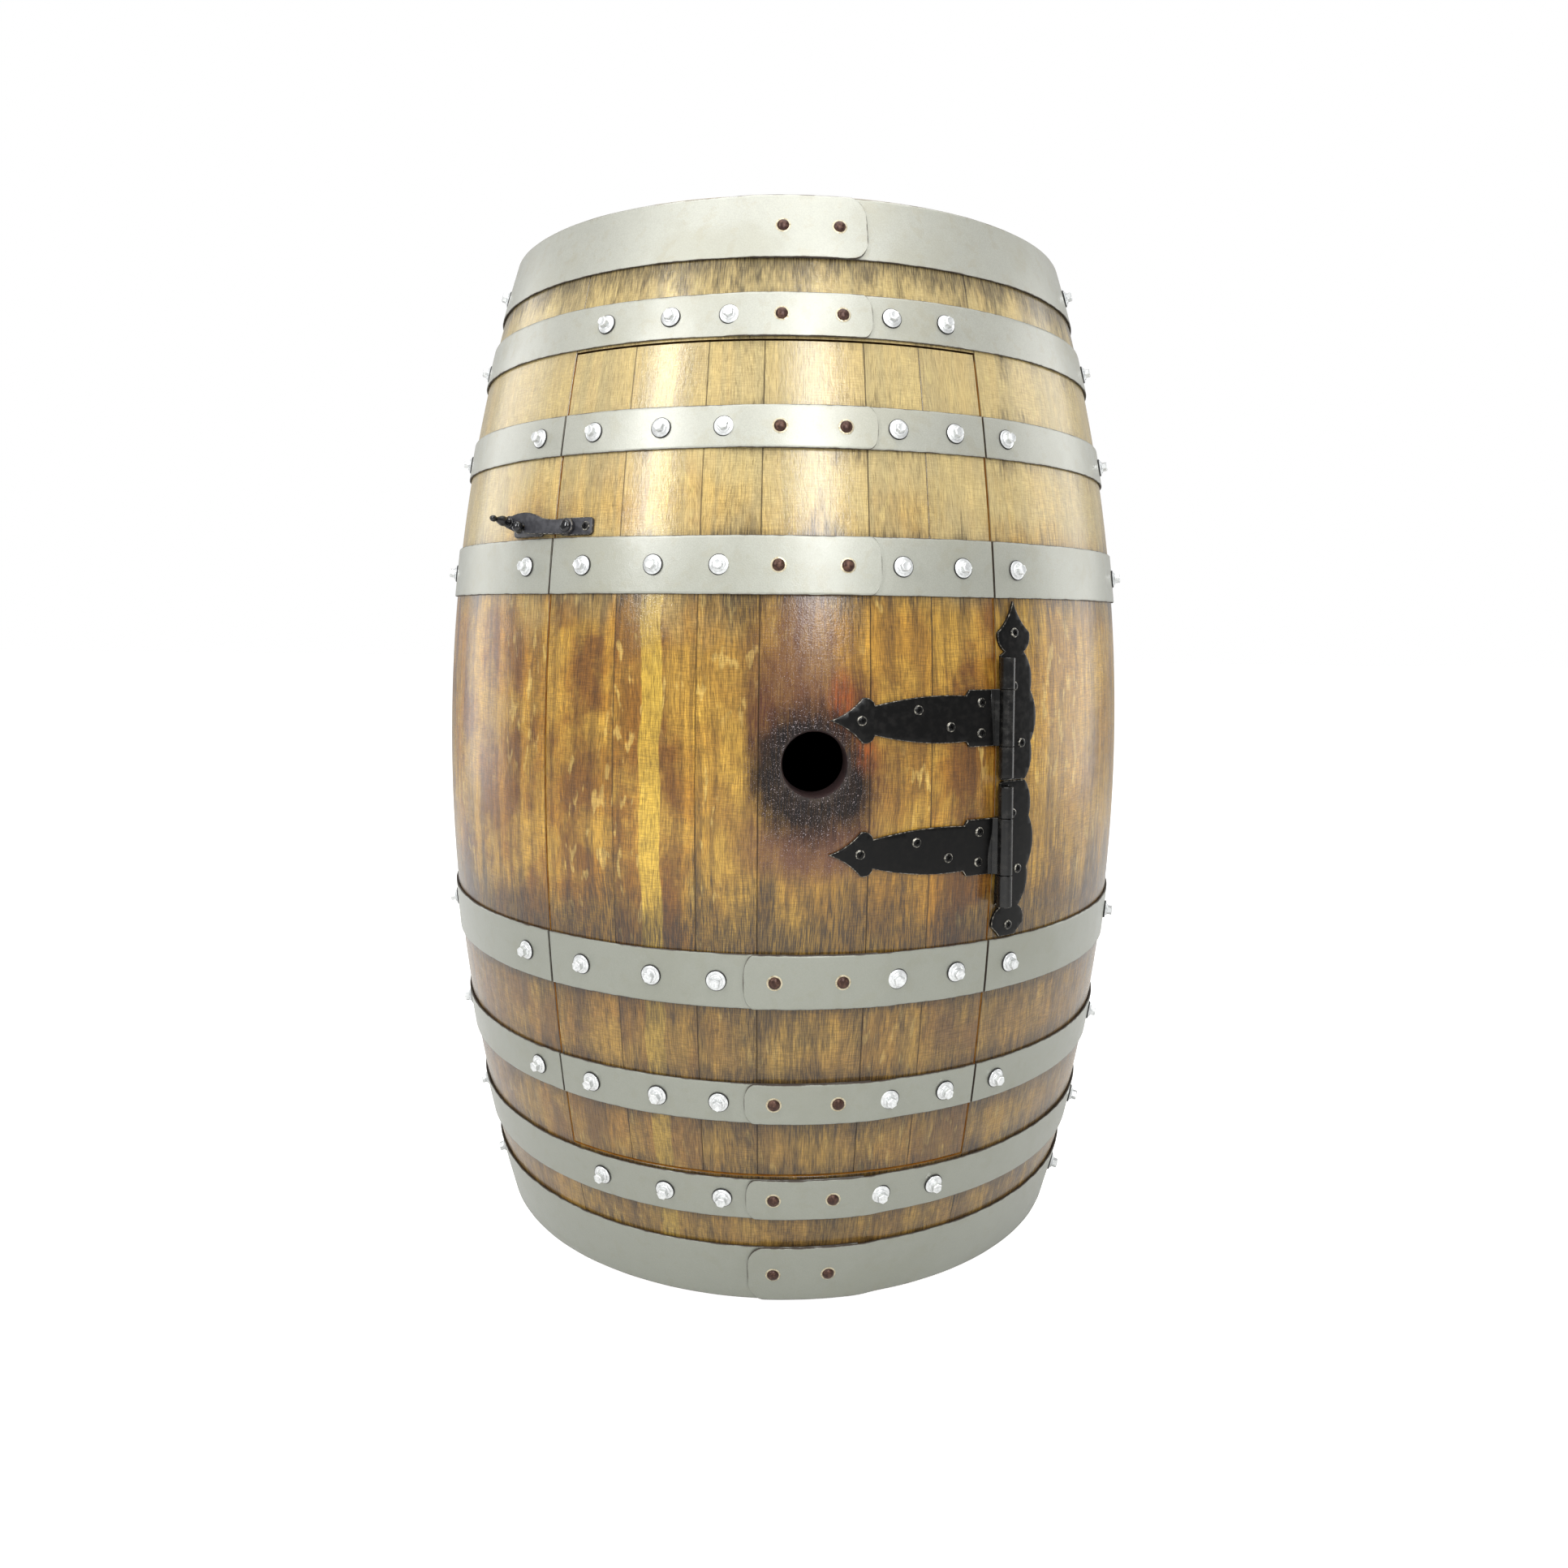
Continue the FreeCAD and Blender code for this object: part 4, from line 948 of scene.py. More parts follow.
# how strongly iron has stained the wood under and over each hoop, and how far in mm
IRON_BLEED = {
    "bottom_chime_hoop": (0.0, 0.75, 18), "lower_quarter_hoop": (0.8, 0.85, 22),
    "lower_french_hoop": (0.85, 0.9, 26), "lower_bilge_hoop": (0.8, 1.35, 62),
    "upper_bilge_hoop": (0.80, 0.45, 42), "upper_french_hoop": (0.5, 0.35, 20),
    "upper_quarter_hoop": (0.45, 0.35, 20), "top_chime_hoop": (0.95, 0.0, 34),
}
CUT_HOOPS = [name for name in IRON_BLEED if "french" in name or "bilge" in name]


def iron_bleed(z):
    """Strength of the iron stain at each height."""
    most = np.zeros_like(z)
    for name, (below, above, reach) in IRON_BLEED.items():
        low, high = heights(name)
        under = below * np.exp(-np.clip(low - z, 0, None) / (reach * MM)) * (z <= high)
        over = above * np.exp(-np.clip(z - high, 0, None) / (reach * MM)) * (z >= low)
        most = np.maximum(most, np.maximum(under, over))
    return most


def mark_wood(mesh, joints):
    """Gives the staves' mesh its map of metres round and up, and what the finishes read from it:
    the board's number, the depth in the wood, nearness to a joint and the iron stain."""
    co = read(mesh.vertices, "co", 3)
    radius = np.hypot(co[:, 0], co[:, 1])
    turn = azimuth(co)
    face_az = azimuth(read(mesh.polygons, "center", 3))
    owner = np.repeat(face_az, read(mesh.polygons, "loop_total", kind=int))
    corner = read(mesh.loops, "vertex_index", kind=int)
    loop_az = owner + (turn[corner] - owner + 180) % 360 - 180
    uv = np.stack([np.radians(loop_az) * BELLY_R, co[corner, 2]], 1)
    mesh.uv_layers.new(name="UVMap").data.foreach_set("uv", uv.ravel())
    edges = np.array(sorted(joints))
    number = np.searchsorted(edges, face_az)
    away = np.abs((turn[:, None] - edges[None, :] + 180) % 360 - 180)
    near = away.min(1) * math.radians(1) * radius
    width = 0.60 * MM + 0.4 * MM * (np.sin(edges * 7.3 + 1.1) > 0.2)[away.argmin(1)]
    mark(mesh, "board", "FACE", np.modf(np.sin(number * 12.9898 + 4.1) * 43758.5453)[0] % 1.0)
    mark(mesh, "depth", "POINT", np.clip((bow(co[:, 2]) - radius) / STAVE_T, 0, 1))
    mark(mesh, "joint", "POINT", np.clip(1.0 - near / width, 0, 1))
    mark(mesh, "stain", "POINT", iron_bleed(co[:, 2]))


def make_staves(node, pieces, joints, body):
    """One object of staves. pieces holds the first and last azimuth and the low and high end of each."""
    shells = [stave_shell(*piece) for piece in pieces]
    made = new_object(node + "_oak", *gathered([shell[:2] for shell in shells]), STAVE_FINISHES)
    made.data.polygons.foreach_set("material_index", [finish for shell in shells for finish in shell[2]])
    bend(made)
    if "bung" in node:
        bore_bung_hole(made)
    mark_wood(made.data, joints)
    hand_over(made, body, [node])


def bore_bung_hole(made):
    """Bores the bung hole, a little reamed at its mouth."""
    profile = [(BUNG_R, -60 * MM), (BUNG_R, -3 * MM), (BUNG_R + 0.6 * MM, -1.6 * MM),
               (BUNG_R + 2.4 * MM, 1 * MM), (BUNG_R + 4 * MM, 12 * MM)]
    cutter = new_object("bung_cutter", *turned(profile, 72), STAVE_FINISHES)
    cutter.data.polygons.foreach_set("material_index", [INNER] * len(cutter.data.polygons))
    axis = outward(BUNG_AZ)
    turn = UP.rotation_difference(axis).to_matrix().to_4x4()
    cutter.data.transform(Matrix.Translation(axis * BELLY_R + UP * BUNG_Z) @ turn)
    turn_outwards(cutter, merge=True)
    cut(made, cutter)


GROWN = math.degrees(CUT_SWELL / BELLY_R)


def grown(node, start, end, low, high):
    """Span of a stave: exact at the barrel's ends, and on the door grown a little into the saw cut."""
    low = 0 if low < MM else low
    high = HEIGHT if high > HEIGHT - MM else high
    if "door" not in node and "bung" not in node:
        return start, end, low, high
    start -= GROWN if node == "door_stave_1" else 0
    end += GROWN if node == "door_stave_6" else 0
    return start, end, low - CUT_SWELL, high + CUT_SWELL


def build_staves():
    door_nodes = ["door_stave_%d" % number for number in (1, 2, 3, 5, 6)]
    door_nodes.insert(3, "bung_stave")
    fixed_nodes = ["left_staves", "rear_staves", "right_staves", "header_staves", "sill_staves"]
    for nodes, body in ((fixed_nodes, "barrel"), (door_nodes, "door")):
        found = {node: [grown(node, *piece) for piece in spans(node)] for node in nodes}
        edges = [edge for pieces in found.values() for piece in pieces for edge in piece[:2]]
        joints = sorted({round(float((edge + 180) % 360 - 180), 3) for edge in edges})
        if body == "door":
            joints = joints[1:-1]
        for node in nodes:
            make_staves(node, found[node], joints, body)


# ---------------------------------------------------------------- hoops
def hammered(turn, z):
    """Unevenness of a beaten hoop, in metres."""
    waves = np.sin(turn * 0.11 + z * 31) + 0.6 * np.sin(turn * 0.29 - z * 57 + 1.3)
    return 0.09 * MM * (waves + 0.5 * np.sin(turn * 0.71 + z * 120 + 0.4))


def strip_shell(name, start, end, low, high, climb=None, round_end=None):
    """A hoop strip drawn flat: points, faces and how near each point is to a cut edge.
    climb is where its lap starts to rise, round_end the end with round corners."""
    way = 1 if end > start else -1
    length, rise = (17 * MM, 19 * MM) if "chime" in name else (9 * MM, 0.44 * (high - low))
    corner = math.degrees(length / BELLY_R)
    stations = list(np.arange(start, end, way * HOOP_STEP)) + [end]
    if round_end is not None:
        stations = [az for az in stations if abs(az - round_end) > corner + HOOP_STEP / 2]
        stations += [round_end - way * corner * (1 - math.sin(t)) for t in np.radians(range(0, 91, 10))]
    ease_by = 0.5 * MM
    points = []
    rims = []
    for az in stations:
        lift = HOOP_LIFT
        if climb is not None:
            t = min(max((az - climb) * way / LAP_RAMP, 0), 1)
            lift += (HOOP_T + 0.1 * MM) * t * t * (3 - 2 * t)
        inset = 0.0
        near_end = 0.0
        if round_end is not None:
            left = math.radians(abs(round_end - az)) * BELLY_R
            near_end = 1 - left / RIM
            if left < length:
                inset = rise * (1 - math.sqrt(max(1 - (1 - left / length) ** 2, 0)))
        worn = 0.12 * MM * (1 + math.sin(az * 0.21 + low * 90))
        foot = low + inset + worn
        head = high - inset - worn
        band = min(RIM, (head - foot) * 0.3)
        top = lift + HOOP_T
        ring = [(foot + ease_by, lift, 1), (head - ease_by, lift, 1), (head, lift + ease_by, 1),
                (head, top - ease_by, 1), (head - ease_by, top, 0.62), (head - band, top, 0)]
        ring += [(head - band + (foot - head + 2 * band) * k / 4, top, 0) for k in (1, 2, 3)]
        ring += [(foot + band, top, 0), (foot + ease_by, top, 0.62), (foot, top - ease_by, 1),
                 (foot, lift + ease_by, 1)]
        for z, out, rim in ring:
            points.append((way_round(az), -(out + float(hammered(az, z))), z))
            rims.append(max(rim, near_end, 0))
    return points, ring_faces(len(stations), len(ring)), rims


def hoop_strips(name, on_door):
    """Ends of the strips of a hoop: start, end, where it climbs and its rounded end."""
    hidden, shown = UPPER_LAP if "upper" in name or "top" in name else LOWER_LAP
    way = 1 if shown > hidden else -1
    climb = hidden - way * LAP_RAMP
    if name not in CUT_HOOPS:
        return [(hidden, hidden + way * 360 + (shown - hidden), climb + way * 360, shown + way * 360)]
    gap = math.degrees(HOOP_GAP / BELLY_R)
    if not on_door:
        return [(spans("header_staves")[-1][1] + gap, spans("header_staves")[0][0] + 360 - gap, None, None)]
    start = spans("door_stave_1")[0][0] - GROWN + gap
    end = spans("door_stave_6")[-1][1] + GROWN - gap
    near, far = (start, end) if way > 0 else (end, start)
    return [(near, shown, climb, shown), (hidden, far, None, None)]


def make_hoop(name, on_door=False):
    node = "door_" + name if on_door else name
    low, high = heights(node)
    shells = [strip_shell(name, start, end, low, high, climb, round_end)
              for start, end, climb, round_end in hoop_strips(name, on_door)]
    points, faces = gathered([shell[:2] for shell in shells])
    made = new_object(node + "_steel", points, faces, [HOOP_STEEL])
    mark(made.data, "rim", "POINT", [rim for shell in shells for rim in shell[2]])
    bend(made)
    hand_over(made, "door" if on_door else "barrel", [node], 50)


def build_hoops():
    for name in IRON_BLEED:
        make_hoop(name)
        if name in CUT_HOOPS:
            make_hoop(name, on_door=True)
    single = HOOP_LIFT + HOOP_T
    double = single + HOOP_T + 0.1 * MM
    hexagon, ring, dome, rim = [fastener(name) for name in FASTENERS]
    for node, body, seed in (("hoop_bolts", "barrel", 5), ("door_bolts", "door", 8)):
        places = seats(node, BOLT_H)
        made = heads(node + "_zinc", places, single, hexagon, ZINC, math.pi, seed)
        hand_over(made, body, [node], 30)
        hand_over(heads(node + "_rings", places, single, ring, RUBBER), body)
    for node, body in (("hoop_rivets", "barrel"), ("door_rivets", "door")):
        places = seats(node, 3 * MM)
        hand_over(heads(node + "_domes", places, double, dome, RIVET), body, [node])
        hand_over(heads(node + "_rims", places, double, rim, RIVET_RIM), body)
    for head in (hexagon, ring, dome, rim):
        bpy.data.objects.remove(head)


# ---------------------------------------------------------------- pieces taken over from the CAD model
def merge_by_board(mesh):
    """Merges a CAD node's loose triangles board by board, so that boards that touch along X stay apart."""
    joints = sorted({round(face.calc_center_median().y, 6) for face in mesh.faces
                     if abs(face.normal.y) > 0.999 and max(edge.calc_length() for edge in face.edges) > 0.1})
    boards = {}
    for face in mesh.faces:
        inside = face.calc_center_median().y - face.normal.y * 1e-5
        boards.setdefault(int(np.searchsorted(joints, inside)), {}).update(dict.fromkeys(face.verts))
    for verts in boards.values():
        bmesh.ops.remove_doubles(mesh, verts=list(verts), dist=1e-6)


def take_over(node, name, body, finish, bevel, angle=30):
    """A copy of a CAD node with eased edges and a number for each of its boards."""
    mesh = NODES[node].data.copy()
    mesh.materials.clear()
    made = add_object(name, mesh, [finish])
    with edited(made.data) as mesh:
        merge_by_board(mesh)
        bmesh.ops.dissolve_limit(mesh, angle_limit=math.radians(0.5), verts=mesh.verts, edges=mesh.edges)
        bmesh.ops.recalc_face_normals(mesh, faces=mesh.faces)
    ease(made, bevel * MM, 2, angle)
    with edited(made.data) as mesh:
        layer = mesh.faces.layers.float.new("board")
        for island in islands(mesh):
            faces = dict.fromkeys(face for vert in island for face in vert.link_faces)
            middle = sum((face.calc_center_median() for face in faces), Vector()) / len(faces)
            value = math.modf(abs(math.sin(middle.x * 91.7 + middle.y * 53.3 + middle.z * 17.1)) * 437.58)[0]
            for face in faces:
                face[layer] = value
    hand_over(made, body, [node])


def build_inside():
    for node in ("bottom_head", "top_head"):
        take_over(node, node + "_boards", "barrel", HEAD_OAK, 1.0, 12)
    take_over("shelf", "shelf_board", "barrel", SHELF_PLY, 0.8)
    for node, name, bevel in (("shelf_cleats", "shelf_cleat_blocks", 1.2),
                              ("bottle_dividers", "bottle_divider_strips", 1.2),
                              ("rack_spacers", "rack_spacer_strips", 0.8),
                              ("rack_rails", "glass_rack_rails", 1.6)):
        take_over(node, name, "barrel", RACK_WOOD, bevel)
    for node in ("lower_inner_strap", "upper_inner_strap"):
        take_over(node, node + "_steel", "door", STRAP_STEEL, 0.4, 50)
    head = cross_head()
    node = "inner_strap_screws"
    made = heads(node + "_brass", seats(node, 0.0), -STAVE_T - 3.1 * MM, head, BRASS, math.pi, 6, -1.0)
    hand_over(made, "door", [node], 30)
    bpy.data.objects.remove(head)


# ---------------------------------------------------------------- outlines and plates
def arc(a, b, c, steps=10):
    """Points of the arc from a through b to c, without the last."""
    (ax, ay), (bx, by), (cx, cy) = a, b, c
    d = 2 * (ax * (by - cy) + bx * (cy - ay) + cx * (ay - by))
    sa, sb, sc = ax * ax + ay * ay, bx * bx + by * by, cx * cx + cy * cy
    ux = (sa * (by - cy) + sb * (cy - ay) + sc * (ay - by)) / d
    uy = (sa * (cx - bx) + sb * (ax - cx) + sc * (bx - ax)) / d
    radius = math.hypot(ax - ux, ay - uy)
    first, middle, last = [math.atan2(y - uy, x - ux) for x, y in (a, b, c)]
    whole = (last - first) % (2 * math.pi)
    if (middle - first) % (2 * math.pi) > whole:
        whole -= 2 * math.pi
    turns = [first + whole * k / steps for k in range(steps)]
    return [(ux + radius * math.cos(turn), uy + radius * math.sin(turn)) for turn in turns]


def trace(start, *runs):
    """Points of an outline. Each run starts where the last one ended: one more point makes a straight
    line, and two make an arc through the first of them."""
    points = []
    for run in runs:
        points += [start] if len(run) == 1 else arc(start, *run)
        start = run[-1]
    return points + [start]


def slice_up(mesh, step):
    """Cuts a flat drawing into strips both ways, so that it can bend."""
    for axis in (0, 2):
        values = [vert.co[axis] for vert in mesh.verts]
        normal = [float(k == axis) for k in range(3)]
        at = min(values) + step
        while at < max(values) - MM:
            every = mesh.verts[:] + mesh.edges[:] + mesh.faces[:]
            point = [at * part for part in normal]
            bmesh.ops.bisect_plane(mesh, geom=every, plane_co=point, plane_no=normal)
            at += step
    bmesh.ops.triangulate(mesh, faces=[face for face in mesh.faces if len(face.verts) > 4])


def clipped(outline, ends):
    """The part of an outline that lies between two heights. A tip that passes them by less than a
    hundredth of a millimetre is left whole."""
    for end, side in zip(ends, (-1, 1)):
        level = end + side * 0.01 * MM
        kept = []
        for (ax, az), (bx, bz) in zip(outline, outline[1:] + outline[:1]):
            if (az - level) * side <= 0:
                kept.append((ax, az))
            if (az - level) * (bz - level) < 0:
                kept.append((ax + (bx - ax) * (level - az) / (bz - az), level))
        outline = kept
    return outline


def plate_on_barrel(name, outline, ends):
    """A hinge leaf with eased edges, cut off between two heights and laid on the barrel."""
    outline = clipped(outline, ends)
    points = [(x, y, z) for y in (-LEAF_BED, -LEAF_BED - LEAF_T) for x, z in outline]
    made = new_object(name, points, ring_faces(2, len(outline)), [BLACK_IRON, WORN_EDGE])
    turn_outwards(made)
    ease(made, 0.55 * MM, finish=1)
    with edited(made.data) as mesh:
        slice_up(mesh, 5 * MM)
    bend(made, merge=True)
    return made


# ---------------------------------------------------------------- hinges
PIN = Vector(JOINTS["door_swing"]["pos_m"])
PIN_AZ = float(azimuth(np.array(PIN)))
END_KNUCKLE = 26.5 * MM
KNUCKLE_GAP = 0.3 * MM


def leaf_x(distance):
    """Way round to a distance from the pin; the strap lies at negative distances."""
    return (math.radians(PIN_AZ) + distance / CAD_BELLY_R) * BELLY_R


def leaf_outline(upper, middle, side):
    """Outline of a leaf from its upper half, with the mirror image below."""
    lower = [(x, -z) for x, z in reversed(upper) if z > 1e-9]
    return [(leaf_x(side * x), middle + z) for x, z in upper + lower]


def knuckle_and_web(low, high, side):
    """Shells of a knuckle round the pin and of the metal that joins it to its leaf."""
    ease_by = 0.5 * MM
    profile = [(PIN_R, low), (KNUCKLE_R - ease_by, low), (KNUCKLE_R, low + ease_by),
               (KNUCKLE_R, high - ease_by), (KNUCKLE_R - ease_by, high), (PIN_R, high)]
    az = PIN_AZ + side * math.degrees(4 * MM / BELLY_R)
    centre = Vector((PIN.x, PIN.y, 0))
    drop = centre.length - float(bow((low + high) / 2)) - 0.3 * MM
    face = LEAF_T - drop
    section = [(0.0, -2.0 * MM), (1.5 * MM, -0.5 * MM), (KNUCKLE_R * 0.98, face + 3.0 * MM),
               (KNUCKLE_R + 1.6 * MM, face + 0.5 * MM), (KNUCKLE_R + 5 * MM, face - 0.3 * MM),
               (KNUCKLE_R + 5 * MM, 0.8 * MM - drop), (0.0, 0.8 * MM - drop)]
    web = [centre + across(az) * side * a + outward(az) * b + UP * z for z in (low, high) for a, b in section]
    return [turned(profile, 40, PIN.x, PIN.y), (web, ring_faces(2, len(section)))]


def make_leaf(node, body, outline, side, knuckles, ends=(-1.0, 2.0), room=None):
    """A hinge leaf with its knuckles. room is cut out for the knuckle of the other leaf."""
    made = plate_on_barrel(node + "_iron", outline, ends)
    if room:
        cut(made, room)
    shells = [shell for low, high in knuckles for shell in knuckle_and_web(low, high, side)]
    loops = new_object("knuckles", *gathered(shells), [RUBBED_IRON])
    turn_outwards(loops)
    ease(loops, 0.3 * MM, 1, 60)
    merge(made, loops)
    hand_over(made, body, [node], 34)


def strap_outline(half_h):
    """Upper half of a strap: x runs from the pin to the spade at its tip."""
    neck = STRAP_LENGTH - 37 * MM
    root = 33 * MM
    step_at = root + 3.5 * MM
    return trace(
        (0, half_h),
        [(root, half_h)],
        [(step_at, 19.0 * MM)],
        [(step_at + 40 * MM, 18.8 * MM), (neck, 12.0 * MM)],
        [(neck + 4 * MM, 17.3 * MM), (neck + 10.5 * MM, 18.0 * MM)],
        [(neck + 20 * MM, 8.8 * MM), (STRAP_LENGTH, 0)])


def plate_outline():
    """Upper half of a scalloped plate, with a spade at its end."""
    neck = 55 * MM
    bulb = 16 * MM
    wide = bulb + 18.5 * MM
    thin = bulb - 18.5 * MM
    return trace(
        (0, neck - 3 * MM),
        [(bulb - 11 * MM, neck)],
        [(bulb - 17.5 * MM, neck + 7 * MM), (thin, neck + 16.5 * MM)],
        [(bulb - 8 * MM, neck + 27 * MM), (bulb, 98 * MM)],
        [(bulb + 8 * MM, neck + 27 * MM), (wide, neck + 16.5 * MM)],
        [(bulb + 17.5 * MM, neck + 7 * MM), (bulb + 11 * MM, neck)],
        [(bulb + 19.5 * MM, neck - 17 * MM), (wide, 22 * MM)],
        [(bulb + 23.3 * MM, 11.5 * MM), (bulb + 25 * MM, 0)])


def knuckle_room(low, high, steps=12):
    """The space of a strap's knuckle, as a box bent with the barrel."""
    left = leaf_x(-40 * MM)
    right = leaf_x(KNUCKLE_R + 1 * MM)
    ring = [(-0.02, low), (0.02, low), (0.02, high), (-0.02, high)]
    points = [(left + (right - left) * k / steps, y, z) for k in range(steps + 1) for y, z in ring]
    made = new_object("room", points, ring_faces(steps + 1, 4))
    bend(made, merge=True)
    return made


def build_hinges():
    for which in ("lower", "upper"):
        strap = which + "_hinge_strap"
        plate = which + "_hinge_plate"
        low, high = heights(strap)
        middle = (low + high) / 2
        outline = leaf_outline(strap_outline((high - low) / 2), middle, -1)
        make_leaf(strap, "door", outline, -1, [(low, high)])
        below = low - KNUCKLE_GAP
        above = high + KNUCKLE_GAP
        make_leaf(plate, "barrel", leaf_outline(plate_outline(), middle, 1), 1,
                  [(below - END_KNUCKLE, below), (above, above + END_KNUCKLE)], heights(plate),
                  knuckle_room(below, above))
    shells = []
    crown = 0.8 * MM
    for points in solids("hinge_pins"):
        low, high = float(points[:, 2].min()), float(points[:, 2].max())
        profile = [(PIN_R * 0.6, low), (PIN_R, low + crown), (PIN_R, high - crown), (PIN_R * 0.6, high)]
        shells.append(turned(profile, 28, PIN.x, PIN.y))
    pins = new_object("hinge_pins_steel", *gathered(shells), [BLACK_IRON])
    turn_outwards(pins)
    hand_over(pins, "barrel", ["hinge_pins"])
    head = cross_head()
    for node, body in (("hinge_strap_screws", "door"), ("hinge_plate_screws", "barrel")):
        made = heads(node + "_black", seats(node, 1.6 * MM), LEAF_BED + LEAF_T, head, BLACK_IRON, math.pi, 3,
                     worn=WORN_SCREW)
        hand_over(made, body, [node], 30)
    bpy.data.objects.remove(head)


# ---------------------------------------------------------------- latch
PIVOT = Vector(JOINTS["latch_swing"]["pos_m"])
LATCH_OUT = -Vector(JOINTS["latch_swing"]["axis"]).normalized()
LATCH_PLATE_T = 2.5 * MM
LATCH_HALF_H = 7.5 * MM
LATCH_BAR_T = 3.0 * MM
LATCH_HALF_W = 7 * MM
LATCH_REACH = 50 * MM
LATCH_SWEEP = 70 * MM
LATCH_PLAY = 0.4 * MM


def plane_at(seat, out):
    """Matrix of a working plane: x to the right, y up and z out of the barrel."""
    right = UP.cross(out).normalized()
    return Matrix.Translation(seat) @ Matrix((right, out.cross(right), out)).transposed().to_4x4()


def slab(name, outline, thickness, plane, foot=0.0):
    """A plate with eased edges on a working plane."""
    points = [(x, y, z) for z in (foot, foot + thickness) for x, y in outline]
    made = new_object(name, points, ring_faces(2, len(outline)), [LIT_LATCH_IRON, WORN_EDGE])
    turn_outwards(made, merge=True)
    ease(made, 0.5 * MM, finish=1)
    made.data.transform(plane)
    return made


def clipped_plate(left, right, half_h):
    """Outline of a plate with rounded corners."""
    corner = half_h * 0.45
    centres = ((right - corner, half_h - corner, 0), (left + corner, half_h - corner, 90),
               (left + corner, corner - half_h, 180), (right - corner, corner - half_h, 270))
    turns = [(x, y, math.radians(start + turn)) for x, y, start in centres
             for turn in (0, 22.5, 45, 67.5, 90)]
    return [(x + corner * math.cos(turn), y + corner * math.sin(turn)) for x, y, turn in turns]


def turned_on(name, profile, plane, sides=32):
    """A bright turned piece that stands on a working plane."""
    made = new_object(name, *turned(profile, sides), [TURNED_IRON])
    turn_outwards(made, merge=True)
    made.data.transform(plane)
    return made


def bar_outline():
    """The bar from above its pivot round its hooked end, with the notch that drops on the knob."""
    half_w = LATCH_HALF_W
    tip = -LATCH_SWEEP
    notch = 3.8 * MM
    left = -LATCH_REACH - notch
    right = -LATCH_REACH + notch
    lip = -notch - 1 * MM
    return trace(
        (0, half_w),
        [(-14 * MM, half_w - 0.8 * MM), (-28 * MM, half_w + 1 * MM)],
        [(tip + 28 * MM, half_w + 5.8 * MM), (tip + 8 * MM, half_w + 3.5 * MM)],
        [(tip, half_w - 2 * MM), (tip + 5 * MM, half_w - 7.5 * MM)],
        [(left, lip)],
        [(left, 0)],
        [(-LATCH_REACH, notch), (right, 0)],
        [(right, lip)],
        [(right + 8 * MM, 1 * MM - half_w)],
        [(0, -half_w)],
        [(half_w, 0), (0, half_w)])[:-1]


def latch_screws(node, body, spots, plane):
    """Screws of a latch plate, each turned by its place."""
    head = cross_head((BLACK_IRON, WORN_SCREW))
    copies = []
    for x in spots:
        copies.append(add_object(node + "_black", head.data.copy()))
        turn = Matrix.Rotation(x * 90, 4, "Z")
        copies[-1].data.transform(plane @ Matrix.Translation((x, 0, LATCH_PLATE_T)) @ turn)
    made = merge(*copies) if len(copies) > 1 else copies[0]
    hand_over(made, body, [node], 30)
    bpy.data.objects.remove(head)


def build_latch():
    plane = plane_at(PIVOT, LATCH_OUT)
    foot = LATCH_PLATE_T + LATCH_PLAY
    top = foot + LATCH_BAR_T
    over = top / MM
    plate = slab("latch_plate_iron", clipped_plate(-9 * MM, 26 * MM, LATCH_HALF_H), LATCH_PLATE_T, plane)
    hand_over(plate, "door", ["latch_plate"])
    bar = slab("latch_bar_iron", bar_outline(), LATCH_BAR_T, plane, foot)
    hand_over(bar, "latch_bar", ["latch_bar"])
    dome = in_mm([(3.0, 2.4), (3.0, over + 0.3), (5.3, over + 0.35), (5.3, over + 1.0), (4.6, over + 2.2),
                  (3.2, over + 3.0), (0.5, over + 3.3)])
    hand_over(turned_on("latch_pivot_dome", dome, plane), "door", ["latch_pivot"])
    grip = Matrix.Translation((7 * MM - LATCH_SWEEP, LATCH_HALF_W - 2.5 * MM, top))
    finial = in_mm([(4.4, 0.05), (4.7, 0.5), (4.7, 1.3), (4.4, 1.7), (3.4, 2.2), (3.3, 2.8), (4.2, 3.2),
                    (4.4, 3.8), (4.2, 4.4), (3.2, 4.8), (3.3, 5.6), (4.1, 6.8), (4.5, 8.2), (4.5, 9.4),
                    (4.1, 11.0), (3.3, 12.9), (2.6, 14.6), (2.0, 16.0), (1.7, 17.0), (1.8, 17.5), (2.4, 18.2),
                    (2.8, 19.3), (2.8, 20.6), (2.4, 22.0), (1.6, 23.2), (0.4, 24.0)])
    finial = turned_on("latch_finial_iron", finial, plane @ grip, 40)
    hand_over(finial, "latch_bar", ["latch_finial"])
    spots, catch_plane = build_catch(plane, top)
    latch_screws("latch_plate_screw", "door", (19 * MM,), plane)
    latch_screws("latch_catch_screws", "barrel", spots, catch_plane)


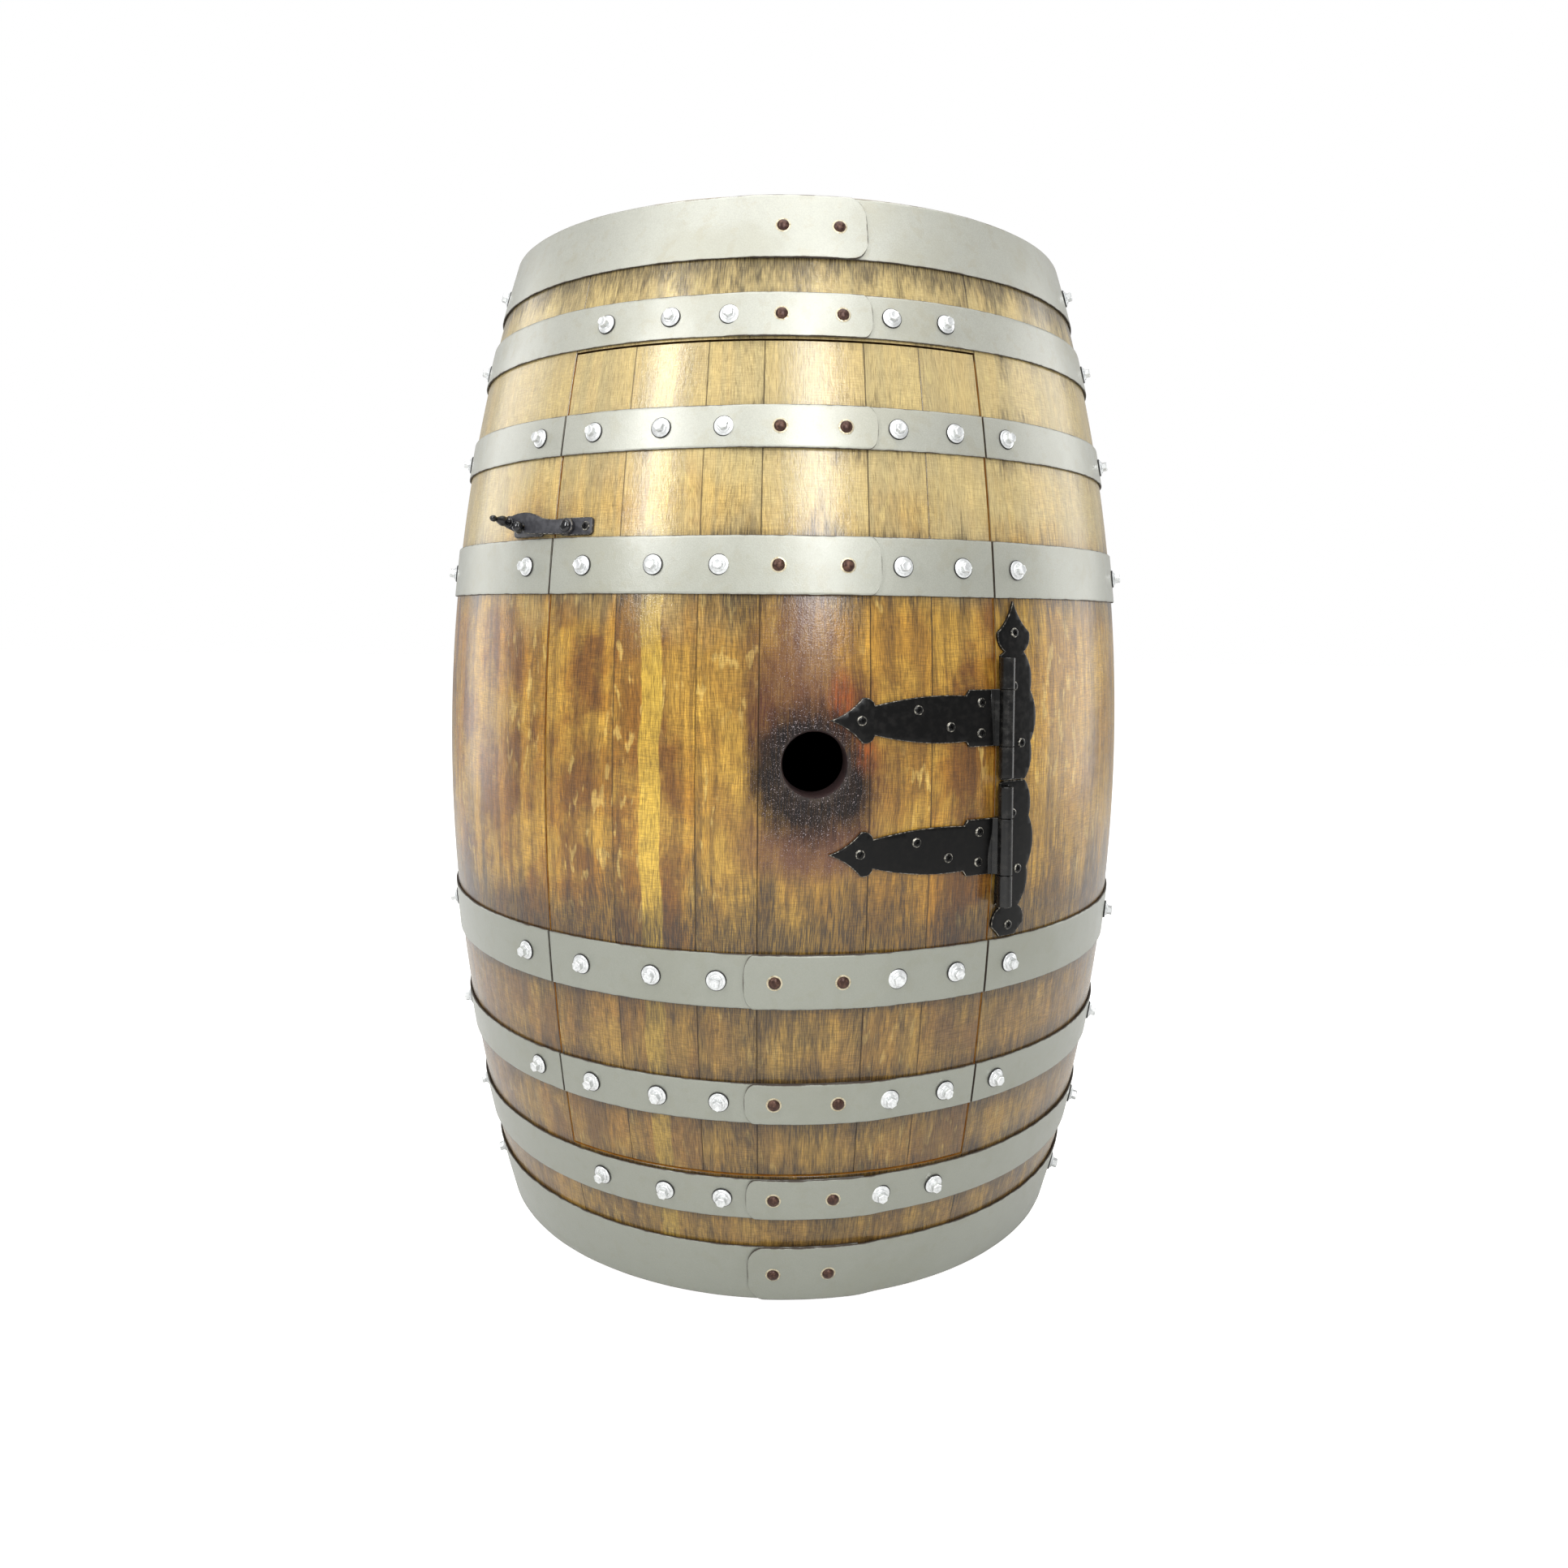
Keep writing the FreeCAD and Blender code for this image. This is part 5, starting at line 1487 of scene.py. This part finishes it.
def build_catch(plane, top):
    """The catch plate lies flat on the barrel under its screws, and its knob stands in the bar's notch.
    Returns where its screws sit and the plane of the plate."""
    left = -22.5 * MM
    right = 18.5 * MM
    spots = (left + 6 * MM, right - 7 * MM)
    first, second = [Vector(points.mean(0)) for points in solids("latch_catch_screws")]
    level = (second - first).normalized()
    out = (level.cross(UP) + UP * ((PIVOT.z - HEIGHT / 2) / BOW_R)).normalized()
    seat = (first + second) / 2 - level * sum(spots) / 2 - out * (LATCH_PLATE_T + 0.85 * MM)
    catch_plane = plane_at(seat, out)
    plate = slab("latch_catch_iron", clipped_plate(left, right, LATCH_HALF_H), LATCH_PLATE_T, catch_plane)
    notch = Vector((-LATCH_REACH, 0, top + LATCH_PLAY))
    ball = [(2.4 * MM, -(plane @ notch - seat).dot(out)), (2.4 * MM, 0)]
    ball += in_mm([(3.6, 0.6), (4.4, 1.8), (4.8, 3.4), (4.75, 4.6), (4.3, 5.9), (3.3, 7.0), (1.9, 7.6),
                   (0.4, 7.8)])
    merge(plate, turned_on("stud", ball, plane @ Matrix.Translation(notch), 40))
    hand_over(plate, "barrel", ["latch_catch"])
    return spots, catch_plane


# ---------------------------------------------------------------- stage, light and camera
PICTURE = 1932                    # width of the render that the next numbers are given in
FOCAL_PIXELS = 1360.8
SENSOR = 36.0
CAMERA_AZ = 2.4
CAMERA_DISTANCE = 1.2334
CAMERA_HEIGHT = 0.5927
CAMERA_TILT = math.radians(1.45)  # downwards
CAMERA_ROLL = math.radians(0.57)
AXIS_ROW = 794.2                  # row of the optical axis in that render
STUDIO_LIGHT = 0.46               # brightness of the studio's walls
BACKDROP_WHITE = 1.0              # and of the backdrop that the camera sees
FLOOR_WHITE = 0.80                # what is added to the floor that the camera sees
FLOOR_HALF = 14
WHITE = (1.0, 1.0, 1.0, 1.0)


def build_stage():
    paint = Finish("pale_floor", roughness=0.8, specular=0.2)
    paint.colour = paint.mix(paint.place().noise(1.5, 2.0), srgb(226, 226, 225), srgb(232, 232, 231))
    seen = paint.get("ShaderNodeLightPath", output="Is Camera Ray")
    paint.set({"Emission Color": WHITE, "Emission Strength": seen * FLOOR_WHITE})
    corners = [(x * FLOOR_HALF, y * FLOOR_HALF, -0.4 * MM) for x, y in ((-1, -1), (1, -1), (1, 1), (-1, 1))]
    made = new_object("floor", corners, [(0, 1, 2, 3)], [paint.finished()])
    world = bpy.data.worlds.new("studio")
    bpy.context.scene.world = world
    world.use_nodes = True
    graph = Graph(world.node_tree)
    seen = graph.get("ShaderNodeLightPath", output="Is Camera Ray")
    background = world.node_tree.nodes["Background"].inputs
    graph.feed(background["Color"], WHITE)
    graph.feed(background["Strength"], seen.between(STUDIO_LIGHT, BACKDROP_WHITE))


def area_light(name, place, target, size, power):
    light = bpy.data.lights.new(name, "AREA")
    light.shape = "RECTANGLE"
    light.size, light.size_y = size
    light.energy = power
    made = bpy.data.objects.new(name, light)
    made.location = place
    made.rotation_euler = (Vector(target) - Vector(place)).to_track_quat("-Z", "Y").to_euler()
    bpy.context.scene.collection.objects.link(made)


def build_lights():
    area_light("strip_left", (-1.63, -1.92, 1.75), (0, -0.2, 0.60), (0.34, 1.5), 31)
    area_light("strip_right", (0.55, -2.50, 1.68), (0, -0.2, 0.62), (0.52, 1.7), 43)
    area_light("side_left", (-2.3, 0.7, 1.0), (0, 0, 0.5), (1.2, 2.0), 14)
    area_light("side_right", (2.3, 0.6, 1.0), (0, 0, 0.5), (1.4, 2.0), 17)
    area_light("ceiling", (0, -0.5, 2.9), (0, -0.2, 0.7), (2.4, 2.4), 50)


def build_camera():
    camera = bpy.data.cameras.new("camera")
    camera.sensor_width = SENSOR
    camera.lens = FOCAL_PIXELS / PICTURE * SENSOR
    camera.shift_y = (AXIS_ROW - PICTURE / 2) / PICTURE
    made = bpy.data.objects.new("camera", camera)
    place = outward(CAMERA_AZ) * CAMERA_DISTANCE + UP * CAMERA_HEIGHT
    ahead = -outward(CAMERA_AZ) * math.cos(CAMERA_TILT) - UP * math.sin(CAMERA_TILT)
    turn = ahead.to_track_quat("-Z", "Y").to_matrix().to_4x4()
    made.matrix_world = Matrix.Translation(place) @ turn @ Matrix.Rotation(CAMERA_ROLL, 4, "Z")
    bpy.context.scene.collection.objects.link(made)
    bpy.context.scene.camera = made
    bpy.context.scene.view_settings.view_transform = "Standard"


build_stage()
build_lights()
build_camera()
build_staves()
build_hoops()
build_hinges()
build_latch()
build_inside()
